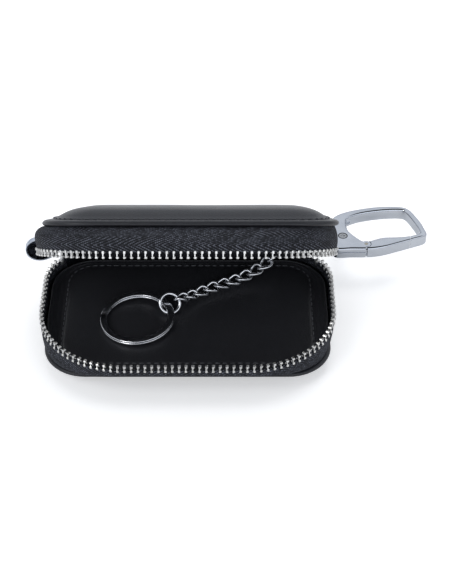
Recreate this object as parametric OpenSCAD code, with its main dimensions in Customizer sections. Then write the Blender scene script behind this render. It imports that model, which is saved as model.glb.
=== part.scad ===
// Zip-round key case: two leather shells joined by a folding spine, with a
// metal zip, a key chain inside and a spring hook on a leather strap.
// Lengths are millimetres. X runs to the hook, Y to the spine, Z up.

/* [Case] */
// Width of the leather panels
case_w = 114.4; // [96:0.4:150]
// Depth of the leather panels, front to spine
case_d = 72.5; // [64:0.5:96]
// Corner radius of the leather panels
panel_r = 17; // [16:0.5:20]
// Height from the base to the plane where the shells meet
shell_h = 18.5; // [17:0.25:24]
// Height of the padded crown below its seam
crown_h = 5.4; // [4.4:0.1:7]
// Height of the rolled rim outside the seam
rim_h = 2.3; // [1.8:0.1:3]
// Angle between shut and the resting place of the lid
lid_rest = 36.7; // [0:0.1:60]
// How far the soft lid has slumped sideways at its panel
lid_drift = 1.5; // [-2:0.1:2]

/* [Walls] */
// How far the mouth leans forward of the panel
mouth_lean = 8.1; // [0:0.1:10]
// How far the mouth bulges beyond the panel at each side
mouth_bulge = 2; // [0:0.1:3]
// Corner radius of the mouth at the front
mouth_front_r = 35; // [24:0.5:38]
// Corner radius of the mouth at the spine
mouth_rear_r = 20; // [16:0.5:24]
// Thickness of the woven zip tape
tape_t = 0.8; // [0.6:0.05:1]
// Thickness of the leather
leather_t = 1.3; // [1:0.05:1.6]
// Thickness of the lining leather
lining_t = 0.8; // [0.6:0.05:1]
// Thickness of the stiff board in each panel
board_t = 1.5; // [1:0.1:1.8]

/* [Zip] */
// Spacing of the teeth along each row
tooth_spacing = 2.63; // [2.4:0.01:3.2]
// Width of a tooth along the row
tooth_w = 1.2; // [0.9:0.05:1.25]
// Height of a tooth across the tape edge
tooth_h = 3.3; // [2.8:0.1:3.6]
// Length of the slider along the row
slider_l = 7.2; // [6:0.1:8]
// Height of the slider across both rows
slider_h = 7.2; // [6.6:0.1:8.6]
// Length of the pull tab
pull_l = 17.9; // [12:0.1:22]
// Width of the pull tab
pull_w = 11.4; // [9:0.1:13]
// Thickness of the pull tab
pull_t = 1.8; // [1.4:0.1:2]

/* [Hook] */
// Length of the spring hook
hook_l = 39.8; // [34:0.2:48]
// Width of the spring hook
hook_w = 29.2; // [26:0.2:34]
// Thickness of the spring hook
hook_t = 5.5; // [5:0.1:7]
// Radius of the gate pin
gate_pin_r = 0.8; // [0.6:0.05:0.95]
// Radius of the screw post in the hook's clamp
post_r = 1.4; // [1.1:0.05:1.5]
// Thickness of the leather strap
strap_t = 2.2; // [1.6:0.1:2.4]

/* [Key chain] */
// Outer diameter of the split ring
split_od = 30.5; // [26:0.25:34]
// Radial width of the flat wire in the split ring
split_wire = 2.8; // [2:0.1:3]
// Thickness of the two turns of the split ring together
split_h = 2; // [1.6:0.1:2.4]
// Diameter of the chain wire
wire = 1.35; // [1.1:0.05:1.4]
// Length of a link between its wire centres
link_l = 6.8; // [6.7:0.05:7]
// Width of a link between its wire centres
link_w = 4.6; // [4.4:0.05:4.8]
// Spacing of the links
link_spacing = 5.07; // [4.9:0.01:5.15]
// Diameter of the jump ring between its wire centres
jump_d = 8.2; // [7.6:0.1:9]

/* [Hidden] */
$fn = 48;

// Steps in each corner of an outline, and the angles of a half and a full turn
corner_steps = 9;
half_turn = 180;
full_turn = 360;
// A gap that parts faces of pieces that lie against each other
gap = 0.15;
// How far cuts run past what they cut
over = 1;

// Panel outline and the two places where the shells' outlines are set
panel_hx = case_w / 2;
panel_y = case_d / 2;
seam_z = crown_h;
rim_z = crown_h + rim_h;
mouth_hx = panel_hx + mouth_bulge;
mouth_front = -panel_y - mouth_lean;
// The spine folds on the line through both ends of the zip
crease_inset = 7.6;
hinge_y = panel_y - crease_inset;
hinge_z = shell_h;
// Teeth stand this far below the meeting plane at their middle
row_drop = 0.5;
tooth_mid = shell_h - row_drop;
tape_top = tooth_mid - tooth_h / 2;

// One outline in plan: four arcs joined by straights, counter-clockwise
function arc(cx, cy, r, a0, a1, n) =
    [for (i = [0:n]) let (a = a0 + (a1 - a0) * i / n) [cx + r * cos(a), cy + r * sin(a)]];
function outline(hx, yf, yb, rf, rb) = concat(
    arc(hx - rf, yf + rf, rf, -90, 0, corner_steps),
    arc(hx - rb, yb - rb, rb, 0, 90, corner_steps),
    arc(-hx + rb, yb - rb, rb, 90, 180, corner_steps),
    arc(-hx + rf, yf + rf, rf, 180, 270, corner_steps));
// The lid's panel slumps sideways, so its rings drift from the mouth upwards
$drift = 0;
function at_z(points, z) = let (d = $drift * max(0, tape_top - z) / (tape_top - rim_z))
    [for (p = points) [p.x + d, p.y, z]];

// The panel's outline drawn in by an inset, with corners that stay round
inset_r_share = 0.75;
function panel(inset) =
    let (r = panel_r - inset * inset_r_share)
    outline(panel_hx - inset, -panel_y + inset, panel_y - inset, r, r);

// A closed solid through a list of rings, from its lowest cap to its last
module skin(rings) {
    n = len(rings[0]);
    m = len(rings);
    points = [for (r = rings) each r];
    sides = [for (k = [0:m - 2], i = [0:n - 1]) let (j = (i + 1) % n)
        each [[k * n + i, (k + 1) * n + i, (k + 1) * n + j],
              [k * n + i, (k + 1) * n + j, k * n + j]]];
    first = [for (i = [0:n - 1]) i];
    last = [for (i = [n - 1:-1:0]) (m - 1) * n + i];
    polyhedron(points, concat([first, last], sides));
}

// A wall between outer and inner rows of points that run level by level
module band(outer, inner) {
    m = len(outer);
    n = len(outer[0]);
    points = concat([for (r = outer) each r], [for (r = inner) each r]);
    o = m * n;
    outside = [for (k = [0:m - 2], i = [0:n - 2]) let (a = k * n + i)
        each [[a, a + n, a + n + 1], [a, a + n + 1, a + 1]]];
    inside = [for (k = [0:m - 2], i = [0:n - 2]) let (a = o + k * n + i)
        each [[a, a + n + 1, a + n], [a, a + 1, a + n + 1]]];
    low = [for (i = [0:n - 2]) each [[i, i + 1, o + i + 1], [i, o + i + 1, o + i]]];
    t = (m - 1) * n;
    high = [for (i = [0:n - 2])
        each [[t + i, o + t + i + 1, t + i + 1], [t + i, o + t + i, o + t + i + 1]]];
    e = n - 1;
    start = [for (k = [0:m - 2]) let (a = k * n)
        each [[a, o + a, o + a + n], [a, o + a + n, a + n]]];
    end = [for (k = [0:m - 2]) let (a = k * n + e)
        each [[a, o + a + n, o + a], [a, a + n, o + a + n]]];
    polyhedron(points, concat(outside, inside, low, high, start, end));
}

// A tube swept along a closed run of 3D points, with a ring of sides at each
module loop_tube(path, r, sides) {
    n = len(path);
    rings = [for (i = [0:n - 1])
        let (t = unit(path[(i + 1) % n] - path[(i + n - 1) % n]),
             c = path[i],
             u = unit(cross(t, cross(c - centre_of(path), t))),
             v = cross(t, u))
        [for (j = [0:sides - 1]) let (a = full_turn * j / sides) c + r * (u * cos(a) + v * sin(a))]];
    points = [for (k = rings) each k];
    faces = [for (i = [0:n - 1], j = [0:sides - 1])
        let (a = i * sides + j, b = i * sides + (j + 1) % sides,
             c = ((i + 1) % n) * sides + (j + 1) % sides, d = ((i + 1) % n) * sides + j)
        each [[a, b, c], [a, c, d]]];
    polyhedron(points, faces);
}
function unit(v) = v / norm(v);
function sum(v, i = 0) = i == len(v) - 1 ? v[i] : v[i] + sum(v, i + 1);
function centre_of(path) = sum(path) / len(path);

// Smooth closed outline through hand-set points
smooth_steps = 4;
function spline(p, q, r, s, t) = 0.5 * ((2 * q) + (r - p) * t
    + (2 * p - 5 * q + 4 * r - s) * t * t + (3 * q - p - 3 * r + s) * t * t * t);
function smooth(pts) = [for (i = [0:len(pts) - 1], k = [0:smooth_steps - 1])
    let (n = len(pts))
    spline(pts[(i + n - 1) % n], pts[i], pts[(i + 1) % n], pts[(i + 2) % n], k / smooth_steps)];

// Shell wall: share of the way from rim to mouth, with a bulge near the rim
tape_low_inset = 1.2;
lean_shares = [2.2, 1.2];
function lean(t) = t * (lean_shares[0] - lean_shares[1] * t);
function mix(a, b, t) = a + (b - a) * t;
// Wall outline at height z, moved in by an offset; a0 and a1 cut its rear ends
function wall_numbers(z, off) =
    let (t = min(1, (z - rim_z) / (tape_top - rim_z)), f = lean(t), low = panel_r - tape_low_inset)
    [mix(panel_hx - tape_low_inset, mouth_hx, f) - off,
     mix(-panel_y + tape_low_inset, mouth_front, f) + off,
     mix(panel_y - tape_low_inset, hinge_y, f) - off,
     mix(low, mouth_front_r, f) - off,
     mix(low, mouth_rear_r, f) - off];
function wall_loop(z, off) =
    let (w = wall_numbers(z, off)) at_z(outline(w[0], w[1], w[2], w[3], w[4]), z);
// The run round the front, from the left end angle to the right end angle
function wall_run(z, off, left, right) =
    let (w = wall_numbers(z, off), n = 2 * corner_steps)
    at_z(concat(
        arc(-w[0] + w[4], w[2] - w[4], w[4], half_turn - left, half_turn, n),
        arc(-w[0] + w[3], w[1] + w[3], w[3], 180, 270, n),
        arc(w[0] - w[3], w[1] + w[3], w[3], 270, 360, n),
        arc(w[0] - w[4], w[2] - w[4], w[4], 0, right, n)), z);
// The run across the spine, from the right corner to the left one
function spine_run(z, off, left, right) =
    let (w = wall_numbers(z, off), n = corner_steps)
    at_z(concat(
        arc(w[0] - w[4], w[2] - w[4], w[4], right, 90, n),
        arc(-w[0] + w[4], w[2] - w[4], w[4], 90, half_turn - left, n)), z);
wall_steps = 5;
function wall_levels(top) = [for (k = [0:wall_steps]) mix(rim_z, top, k / wall_steps)];

// Angles round the rear corners where tape, teeth and spine end
tape_end_angle = 60;
tape_end_angle_left_lid = 42;
spine_start_angle = 61;
spine_start_angle_left_lid = 72;
teeth_end_angle = 38;

// Places a piece of the closed lid at its resting angle
module lid_place() {
    translate([0, hinge_y, hinge_z])
        rotate([-lid_rest, 0, 0])
            mirror([0, 0, 1])
                translate([0, -hinge_y, -hinge_z]) children();
}

// Leather cover: dome, seam line and rolled rim, hollow towards the inside
dome_insets = [17, 13.5, 10.5, 8, 6.2, 5.3];
dome_shares = [0, 0.08, 0.24, 0.45, 0.7, 0.92];
seam_inset = 4.7;
rim_insets = [1.7, 0.5, 0, 0, 0.35, 1.1];
rim_shares = [0.04, 0.2, 0.46, 0.66, 0.9, 1];
cover_lip = 3.4;
ledge_inset = 6.3;
ledge_share = 0.4;
pad_insets = [17.5, 14.2, 11.4, 9.2, 7.6];
pad_shares = [0, 0.08, 0.24, 0.45, 0.68];
module cover() {
    color([0.13, 0.132, 0.145]) skin(concat(
        [for (k = [0:len(dome_insets) - 1]) at_z(panel(dome_insets[k]), crown_h * dome_shares[k])],
        [at_z(panel(seam_inset), seam_z)],
        [for (k = [0:5]) at_z(panel(rim_insets[k]), seam_z + rim_h * rim_shares[k])],
        [at_z(panel(cover_lip), rim_z),
         at_z(panel(cover_lip), seam_z + rim_h * ledge_share),
         at_z(panel(ledge_inset), seam_z + rim_h * ledge_share - gap),
         at_z(panel(pad_insets[4] - gap), leather_t + crown_h * pad_shares[4] - gap)],
        [for (k = [3:-1:0]) at_z(panel(pad_insets[k] - gap), leather_t + crown_h * pad_shares[k] - gap)]));
}

// Foam pad that fills the crown
pad_top = rim_z - board_t - lining_t;
module padding() {
    color([0.32, 0.32, 0.33]) skin(concat(
        [for (k = [0:4]) at_z(panel(pad_insets[k]), leather_t + crown_h * pad_shares[k])],
        [at_z(panel(pad_insets[4]), pad_top)]));
}

// Stiff board on the pad
board_play = 0.4;
board_inset = ledge_inset + board_play;
module board() {
    color([0.45, 0.4, 0.33]) skin([
        at_z(panel(pad_insets[4]), pad_top),
        at_z(panel(board_inset), pad_top + board_t / 4),
        at_z(panel(board_inset), pad_top + board_t)]);
}

// Lining: a floor on the board and walls that follow the tape
floor_low = pad_top + board_t;
floor_z = floor_low + lining_t;
lining_drop = 5;
lining_rise = 5.8;
// The wall of the lining ends below the slider and below the ring on the spine
lining_top = min(shell_h - lining_drop, floor_z + lining_rise);
lining_corner = 4.4;
lining_off = tape_t + gap;
module lining() {
    levels = [for (k = [0:4]) mix(floor_z + lining_t / 2, lining_top, k / 4)];
    color([0.075, 0.077, 0.085]) skin(concat(
        [at_z(panel(lining_corner), floor_low),
         wall_loop(floor_z + lining_t / 2, lining_off + leather_t)],
        [for (k = [1:4]) wall_loop(levels[k], lining_off + spine_t)],
        [for (k = [4:-1:1]) wall_loop(levels[k], lining_off + spine_t + lining_t)],
        [wall_loop(floor_z + lining_t / 2, lining_off + leather_t + lining_t),
         at_z(panel(lining_corner + lining_t), floor_z)]));
}

// Woven tape from the rim to the teeth
module tape(left, right) {
    z = concat(wall_levels(tape_top), [tape_top + tape_grip - gap]);
    color([0.15, 0.152, 0.165]) band(
        [for (h = z) wall_run(h, 0, left, right)],
        [for (h = z) wall_run(h, tape_t, left, right)]);
}

// Half of the folding spine, from the rim to its crease
spine_t = 1.2;
crease_gap = 1.15;
bead_r = 0.95;
bead_inset = 15.2;
bead_half = panel_hx - bead_inset;
module spine_half(top, left, right) {
    z = wall_levels(top);
    color([0.13, 0.132, 0.145]) band(
        [for (h = z) spine_run(h, 0, left, right)],
        [for (h = z) spine_run(h, spine_t, left, right)]);
}
module lower_spine() {
    spine_half(hinge_z - bead_r + gap / 2, spine_start_angle, spine_start_angle);
    color([0.13, 0.132, 0.145]) translate([0, hinge_y, hinge_z])
        rotate([0, 90, 0]) cylinder(r = bead_r, h = 2 * bead_half, center = true);
}

// Teeth: places along the mouth by arc length from the front centre
row_hx = mouth_hx - tape_t / 2;
row_front = mouth_front + tape_t / 2;
row_rear = hinge_y - tape_t / 2;
row_fr = mouth_front_r - tape_t / 2;
row_rr = mouth_rear_r - tape_t / 2;
run_a = row_hx - row_fr;
run_b = row_fr * PI / 2;
run_c = (row_rear - row_rr) - (row_front + row_fr);
run_d = row_rr * PI / half_turn * teeth_end_angle;
// Place and heading on the right half of the row; the left half mirrors it
function row_at(s) = s <= run_a ? [s, row_front, 0]
    : s <= run_a + run_b ? let (a = (s - run_a) / row_fr * half_turn / PI)
        [run_a + row_fr * sin(a), row_front + row_fr - row_fr * cos(a), a]
    : s <= run_a + run_b + run_c ? [row_hx, row_front + row_fr + s - run_a - run_b, 90]
    : let (a = (s - run_a - run_b - run_c) / row_rr * half_turn / PI)
        [row_hx - row_rr + row_rr * cos(a), row_rear - row_rr + row_rr * sin(a), 90 + a];
function row_place(s) = s >= 0 ? row_at(s) : let (p = row_at(-s)) [-p.x, p.y, -p.z];
row_half = run_a + run_b + run_c + run_d;
leg_t = 0.75;
leg_h = tooth_h / 2;
head_w_share = 0.78;
head_t = 1.9;
leg_clear = 0.05;
// One tooth: two legs that grip the tape edge, and a narrower head
module tooth() {
    grip = tape_t + 2 * leg_clear;
    difference() {
        union() {
            translate([-tooth_w / 2, -grip / 2 - leg_t, -leg_h])
                cube([tooth_w, grip + 2 * leg_t, leg_h]);
            translate([-tooth_w * head_w_share / 2, -head_t / 2, 0])
                cube([tooth_w * head_w_share, head_t, tooth_h - leg_h]);
        }
        translate([-tooth_w, -grip / 2, -leg_h - over])
            cube([2 * tooth_w, grip, leg_h / 2 + over]);
    }
}
// How far the tape edge reaches up between the legs of a tooth
tape_grip = leg_h / 2;
module teeth(shift) {
    count = floor(row_half / tooth_spacing - shift);
    first = -floor(row_half / tooth_spacing + shift);
    color([0.8, 0.79, 0.76]) for (i = [first:count]) {
        p = row_place((i + shift) * tooth_spacing);
        translate([p.x, p.y, tooth_mid + tape_grip - leg_h / 2]) rotate([0, 0, p.z]) tooth();
    }
}

// End stops: small metal blocks clamped over the ends of the rows
stop_l = 1.8;
stop_h = 2.4;
stop_t = 2;
stop_low = 1.1;
stop_angle = teeth_end_angle + (tooth_w / 2 + stop_l / 2 + gap) / row_rr * half_turn / PI;
module row_stop(side) {
    angle = stop_angle;
    grip = tape_t + 6 * leg_clear;
    x = side * (row_hx - row_rr + row_rr * cos(angle));
    y = row_rear - row_rr + row_rr * sin(angle);
    color([0.8, 0.79, 0.76]) translate([x, y, tape_top - stop_low])
        rotate([0, 0, 90 + side * angle + (side < 0 ? 180 : 0)]) difference() {
            translate([-stop_l / 2, -grip / 2 - stop_t / 4, 0])
                cube([stop_l, grip + stop_t / 2, stop_h]);
            translate([-stop_l, -grip / 2, -over])
                cube([2 * stop_l, grip, stop_low + tape_grip + over]);
        }
}

// Slider at the left end of the zip, with its bridge for the pull tab
slider_angle = 59;
plate_t = 1.2;
plate_off = 1.35;
bridge_reach = 2.6;
bridge_w = 2;
bridge_wall = 0.9;
bridge_span = 5;
bridge_pin_r = 0.6;
module slider_place() {
    x = -(row_hx - row_rr + row_rr * cos(slider_angle));
    y = row_rear - row_rr + row_rr * sin(slider_angle);
    translate([x, y, hinge_z]) rotate([0, 0, 90 - slider_angle]) children();
}
// In the slider's own frame +Y points out of the case and X runs along the row
bridge_y = plate_off + plate_t + bridge_reach - bridge_wall;
module slider() {
    color([0.72, 0.73, 0.76]) slider_place() {
        for (side = [-1, 1])
            translate([-slider_l / 2, side > 0 ? plate_off : -plate_off - plate_t, -slider_h / 2])
                cube([slider_l, plate_t, slider_h]);
        translate([slider_l / 2 - plate_t, -plate_off - plate_t / 2, -plate_t / 2])
            cube([plate_t, 2 * plate_off + plate_t, plate_t]);
        // Two ears carry a pin on which the tab turns
        for (side = [-1, 1])
            translate([-bridge_w / 2, plate_off + plate_t / 2, side * bridge_span / 2 - bridge_wall / 2])
                cube([bridge_w, bridge_reach + plate_t / 2, bridge_wall]);
        translate([0, bridge_y, 0])
            cylinder(r = bridge_pin_r, h = bridge_span, center = true);
    }
}

// Pull tab: a rounded plate with a raised rim, on the bridge pin
pull_rest = 185;
pull_eye_wall = 0.9;
pull_clear = 0.05;
pull_rim = 1.5;
pull_recess = 0.4;
pull_neck_share = 0.22;
pull_shares = [[0.06, 0.09], [pull_neck_share, 0.15], [0.36, 0.36], [0.58, 0.5], [0.82, 0.46], [0.97, 0.2]];
function pull_outline(k) = concat(
    [for (p = pull_shares) [p.x * pull_l, -p.y * pull_w * k]],
    [for (i = [len(pull_shares) - 1:-1:0]) [pull_shares[i].x * pull_l, pull_shares[i].y * pull_w * k]]);
function pull_inner() = let (x0 = pull_neck_share * pull_l * 1.5, x1 = pull_l - pull_rim,
        w = pull_w / 2 - pull_rim)
    [[x0, -w * 0.3], [mix(x0, x1, 0.45), -w], [mix(x0, x1, 0.85), -w * 0.75], [x1, 0],
     [mix(x0, x1, 0.85), w * 0.75], [mix(x0, x1, 0.45), w], [x0, w * 0.3]];
module puller() {
    eye = bridge_span - 2 * bridge_wall - 2 * gap;
    color([0.62, 0.65, 0.7]) slider_place() translate([0, bridge_y, 0])
        rotate([0, 0, pull_rest - 90 + slider_angle]) difference() {
            union() {
                rotate([90, 0, 0]) translate([0, 0, -pull_t / 2])
                    linear_extrude(pull_t) polygon(smooth(pull_outline(1)));
                cylinder(r = bridge_pin_r + pull_clear + pull_eye_wall, h = eye, center = true);
            }
            cylinder(r = bridge_pin_r + pull_clear, h = pull_w, center = true);
            for (side = [-1, 1])
                translate([0, side * (pull_t / 2 - pull_recess / 2), 0]) rotate([90, 0, 0])
                    translate([0, 0, -pull_recess / 2 - (side > 0 ? over : 0)])
                        linear_extrude(pull_recess + over) polygon(smooth(pull_inner()));
            // The tab clears the ears beside its eye
            for (side = [-1, 1])
                translate([0, 0, side * (eye / 2 + bridge_wall + gap)])
                    cube([2 * pull_clear_x, 2 * pull_t, 2 * (bridge_wall + gap)], center = true);
        }
}
pull_clear_x = 2.6;

// Spring hook, drawn in plan as shares of its length and width
hook_off_x = 3.7;
hook_off_y = 3.65;
hook_x = panel_hx + hook_off_x;
hook_y = hinge_y - hook_off_y;
hook_low = hinge_z - hook_t / 2;
hook_shares = [
    [0, 0.01], [0.19, 0], [0.38, 0.004], [0.53, 0.045], [0.68, 0.125], [0.84, 0.215],
    [0.965, 0.29], [1, 0.36], [0.985, 0.47], [0.955, 0.62], [0.9, 0.8], [0.85, 0.925],
    [0.775, 0.985], [0.63, 1], [0.44, 0.975], [0.19, 0.885], [0.04, 0.77], [0, 0.64], [-0.005, 0.3]
];
eye_shares = [
    [0.16, 0.45], [0.152, 0.66], [0.19, 0.735], [0.33, 0.825], [0.55, 0.89], [0.74, 0.905],
    [0.81, 0.86], [0.87, 0.68], [0.925, 0.45], [0.915, 0.36], [0.81, 0.3], [0.68, 0.275],
    [0.53, 0.265], [0.44, 0.22], [0.35, 0.17], [0.3, 0.19], [0.22, 0.31]
];
function hook_pts(shares) = [for (p = shares) [hook_x + p.x * hook_l, hook_y + p.y * hook_w]];
gate_pin_x = hook_x + 0.34 * hook_l;
gate_pin_y = hook_y + 0.105 * hook_w;
gate_tip_x = hook_x + 0.8 * hook_l;
gate_bore_clear = 0.05;
knuckle_r = 2;
knuckle_h = hook_t / 2.4;
gate_gap = 0.25;
screw_x = hook_x + 0.1 * hook_l;
screw_y = hook_y + 0.29 * hook_w;
screw_head_r = 1.65;
screw_head_h = 0.45;
slot_clear = 0.05;
slot_depth = 8;
slot_h = strap_t + 2 * slot_clear;
// The slot is closed at the front, and the strap has room to turn in it
slot_wall = 1;
slot_play = 1.1;
slot_front = hook_y + slot_wall;
strap_front = slot_front + slot_play;
groove_w = 0.35;
groove_drop = 2.35;
module hook_plan() {
    difference() {
        polygon(smooth(hook_pts(hook_shares)));
        polygon(smooth(hook_pts(eye_shares)));
    }
}
// The stretch of the front that the gate takes: from its pin to the nose
gate_slot_y = hook_y + 0.5 * hook_w;
nose_slope = 1.2;
module gate_zone(grow) {
    polygon([[gate_pin_x - grow, hook_y - over], [gate_tip_x + grow, hook_y - over],
        [gate_tip_x + grow + nose_slope, gate_slot_y], [gate_pin_x - grow, gate_slot_y]]);
}
module hook() {
    color([0.72, 0.75, 0.8]) difference() {
        union() {
            translate([0, 0, hook_low]) linear_extrude(hook_t) difference() {
                hook_plan();
                gate_zone(gate_gap);
            }
            // Two ears hold the gate pin above and below the knuckle
            ear_h = (hook_t - knuckle_h) / 2 - gap;
            for (z = [hook_low, hook_low + hook_t - ear_h])
                translate([gate_pin_x, gate_pin_y, z]) cylinder(r = knuckle_r, h = ear_h);
        }
        // Room for the knuckle of the gate
        translate([gate_pin_x, gate_pin_y, hinge_z])
            cylinder(r = knuckle_r + gate_gap, h = knuckle_h + 2 * gap, center = true);
        translate([gate_pin_x, gate_pin_y, hook_low - over])
            cylinder(r = gate_pin_r, h = hook_t + 2 * over);
        // Slot for the strap and the hole for the clamp screw and its post
        translate([hook_x - over, slot_front, hinge_z - slot_h / 2])
            cube([slot_depth + over, hook_w + over, slot_h]);
        // The fine joint that shows along the front of the clamp
        translate([hook_x - over, hook_y - over, hook_low + hook_t - groove_drop])
            cube([gate_pin_x - hook_x + over, over + groove_w, groove_w]);
        translate([screw_x, screw_y, hook_low - over])
            cylinder(r = post_r, h = hook_t + 2 * over);
        translate([screw_x, screw_y, hook_low + hook_t - screw_head_h])
            cylinder(r = screw_head_r, h = screw_head_h + over);
        translate([screw_x, screw_y, hook_low - over])
            cylinder(r = screw_head_r, h = screw_head_h + over);
    }
}
module gate() {
    color([0.74, 0.77, 0.82]) difference() {
        union() {
            translate([0, 0, hook_low]) linear_extrude(hook_t) difference() {
                intersection() {
                    hook_plan();
                    gate_zone(0);
                }
                translate([gate_pin_x, gate_pin_y]) circle(r = knuckle_r + gate_gap);
            }
            intersection() {
                translate([gate_pin_x, gate_pin_y, hinge_z])
                    cylinder(r = knuckle_r, h = knuckle_h, center = true);
                translate([gate_pin_x - knuckle_r, hook_y - over, hook_low])
                    cube([2 * knuckle_r, hook_w, hook_t]);
            }
            // The web that joins the knuckle to the gate
            translate([gate_pin_x, gate_pin_y - gate_pin_r * 1.5, hinge_z - knuckle_h / 2])
                cube([knuckle_r + 2 * gate_gap + over, gate_pin_r * 3, knuckle_h]);
        }
        translate([gate_pin_x, gate_pin_y, hook_low - over])
            cylinder(r = gate_pin_r + gate_bore_clear, h = hook_t + 2 * over);
        // Pocket for the spring beside the pin
        translate([gate_pin_x, gate_pin_y, hinge_z])
            cylinder(r = spring_r + gap, h = spring_h + 2 * gap, center = true);
    }
}
module pin() {
    color([0.6, 0.6, 0.62]) translate([gate_pin_x, gate_pin_y, hook_low])
        cylinder(r = gate_pin_r, h = hook_t);
}
// Torsion spring round the pin, in the pocket of the knuckle
spring_r = 1.45;
spring_h = 1.2;
spring_bore_clear = 0.08;
module spring() {
    color([0.5, 0.5, 0.52]) translate([gate_pin_x, gate_pin_y, hinge_z]) difference() {
        cylinder(r = spring_r, h = spring_h, center = true);
        cylinder(r = gate_pin_r + spring_bore_clear, h = spring_h + over, center = true);
    }
}
// Cross-slot screw from above and the post it threads into from below
post_bore_r = 0.7;
post_reach = hook_t - 2 * screw_head_h;
cross_w = 0.45;
cross_l = 2;
cross_d = 0.3;
module screw() {
    color([0.66, 0.62, 0.55]) difference() {
        union() {
            translate([screw_x, screw_y, hook_low + hook_t - screw_head_h])
                cylinder(r = screw_head_r, h = screw_head_h);
            translate([screw_x, screw_y, hook_low + screw_head_h + gap])
                cylinder(r = post_bore_r, h = post_reach);
        }
        for (turn = [0, 90])
            translate([screw_x, screw_y, hook_low + hook_t]) rotate([0, 0, turn])
                cube([cross_l, cross_w, 2 * cross_d], center = true);
    }
}
module post() {
    color([0.6, 0.6, 0.62]) difference() {
        union() {
            translate([screw_x, screw_y, hook_low]) cylinder(r = screw_head_r, h = screw_head_h);
            translate([screw_x, screw_y, hook_low + screw_head_h])
                cylinder(r = post_r - leg_clear, h = post_reach - gap);
        }
        translate([screw_x, screw_y, hook_low + screw_head_h])
            cylinder(r = post_bore_r + leg_clear, h = post_reach + over);
    }
}

// Leather strap from the right end of the zip into the hook's clamp
strap_turn = 42;
strap_in = 8.2;
strap_off_y = 2.65;
strap_x = mouth_hx - strap_in;
strap_y = hinge_y - strap_off_y;
strap_half = 2.8;
strap_hole_r = post_r + leg_clear;
strap_end_x = hook_x + slot_depth - 4 * gap;
strap_ease = 1.4;
strap_neck = 2.8;
module strap() {
    s = sin(strap_turn);
    c = cos(strap_turn);
    color([0.1, 0.1, 0.11]) difference() {
        union() {
            translate([0, 0, hinge_z - strap_t / 2]) linear_extrude(strap_t) polygon([
                [strap_x + s * strap_half - c * gap, strap_y - c * strap_half - s * gap],
                [hook_x - strap_neck, strap_front], [strap_end_x - strap_ease, strap_front],
                [strap_end_x, screw_y - post_r], [strap_end_x, screw_y + post_r],
                [strap_end_x - strap_ease, hook_y + hook_w / 2], [hook_x - gap, hook_y + hook_w / 2],
                [hook_x - gap, screw_y - gap],
                [strap_x - s * strap_half - c * gap, strap_y + c * strap_half - s * gap]]);
            // The fold on which the strap bends, at the end of the zip
            translate([strap_x, strap_y, hinge_z]) rotate([0, 0, strap_turn]) rotate([90, 0, 0])
                cylinder(r = strap_t / 2 - gap / 2, h = 2 * strap_half, center = true);
        }
        translate([screw_x, screw_y, hinge_z - strap_t])
            cylinder(r = strap_hole_r, h = 2 * strap_t);
    }
}

// Chain: headings and climbs of each link from the jump ring to the anchor
link_yaws = [42, 41, 33, 29, 25, 24, 23, 22, 22];
link_climbs = [-20, -14, 0, 0, 0, 4, 12, 22, 30];
link_count = len(link_yaws);
link_sides = 8;
link_steps = 8;
link_twist = 45;
anchor_share = 0.65;
chain_run = 41.7;
chain_reach = 25.95;
chain_x = panel_hx * anchor_share - chain_run;
chain_y = hinge_y - chain_reach;
chain_lift = 4.85;
chain_z = floor_z + chain_lift;
function heading(i) = [cos(link_climbs[i]) * cos(link_yaws[i]),
    cos(link_climbs[i]) * sin(link_yaws[i]), sin(link_climbs[i])];
// Each link's middle: half a pitch along its own line from its start
function link_start(i) = i == 0 ? [chain_x, chain_y, chain_z]
    : link_start(i - 1) + link_spacing * heading(i - 1);
function link_middle(i) = link_start(i) + link_spacing / 2 * heading(i);
// A straight-sided oval of wire, twisted about its length
function oval() = let (b = link_w / 2, s = link_l / 2 - link_w / 2) concat(
    arc(s, 0, b, -90, 90, link_steps), arc(-s, 0, b, 90, 270, link_steps));
function twisted() = [for (p = oval()) let (a = link_twist * p.x / (link_l / 2))
    [p.x, p.y * cos(a), p.y * sin(a)]];
module link(i) {
    color([0.76, 0.78, 0.82]) translate(link_middle(i))
        rotate([0, -link_climbs[i], link_yaws[i]]) loop_tube(twisted(), wire / 2, link_sides);
}

// Wire ring that joins the chain to the split ring, leaning on both
jump_wire = 1.4;
jump_turn = 12;
jump_lean = 45;
jump_hang = 19;
ring_slack = 0.15;
bow_out = (link_l - link_spacing) / 2;
jump_hold = (wire + jump_wire) / 2 + ring_slack - bow_out;
module ring(d, w) {
    rotate_extrude() translate([d / 2, 0]) circle(r = w / 2, $fn = 24);
}
module jump() {
    color([0.74, 0.76, 0.8]) translate(link_start(0) + jump_hold * heading(0))
        rotate([0, 0, jump_turn]) rotate([jump_lean, 0, 0]) rotate([0, 0, jump_hang])
            translate([-jump_d / 2, 0, 0]) ring(jump_d, jump_wire);
}
// Middle of the jump ring
jump_flat = [cos(jump_hang), sin(jump_hang) * cos(jump_lean), sin(jump_hang) * sin(jump_lean)];
jump_mid = link_start(0) + jump_hold * heading(0) - jump_d / 2 * [
    jump_flat.x * cos(jump_turn) - jump_flat.y * sin(jump_turn),
    jump_flat.x * sin(jump_turn) + jump_flat.y * cos(jump_turn),
    jump_flat.z];

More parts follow.
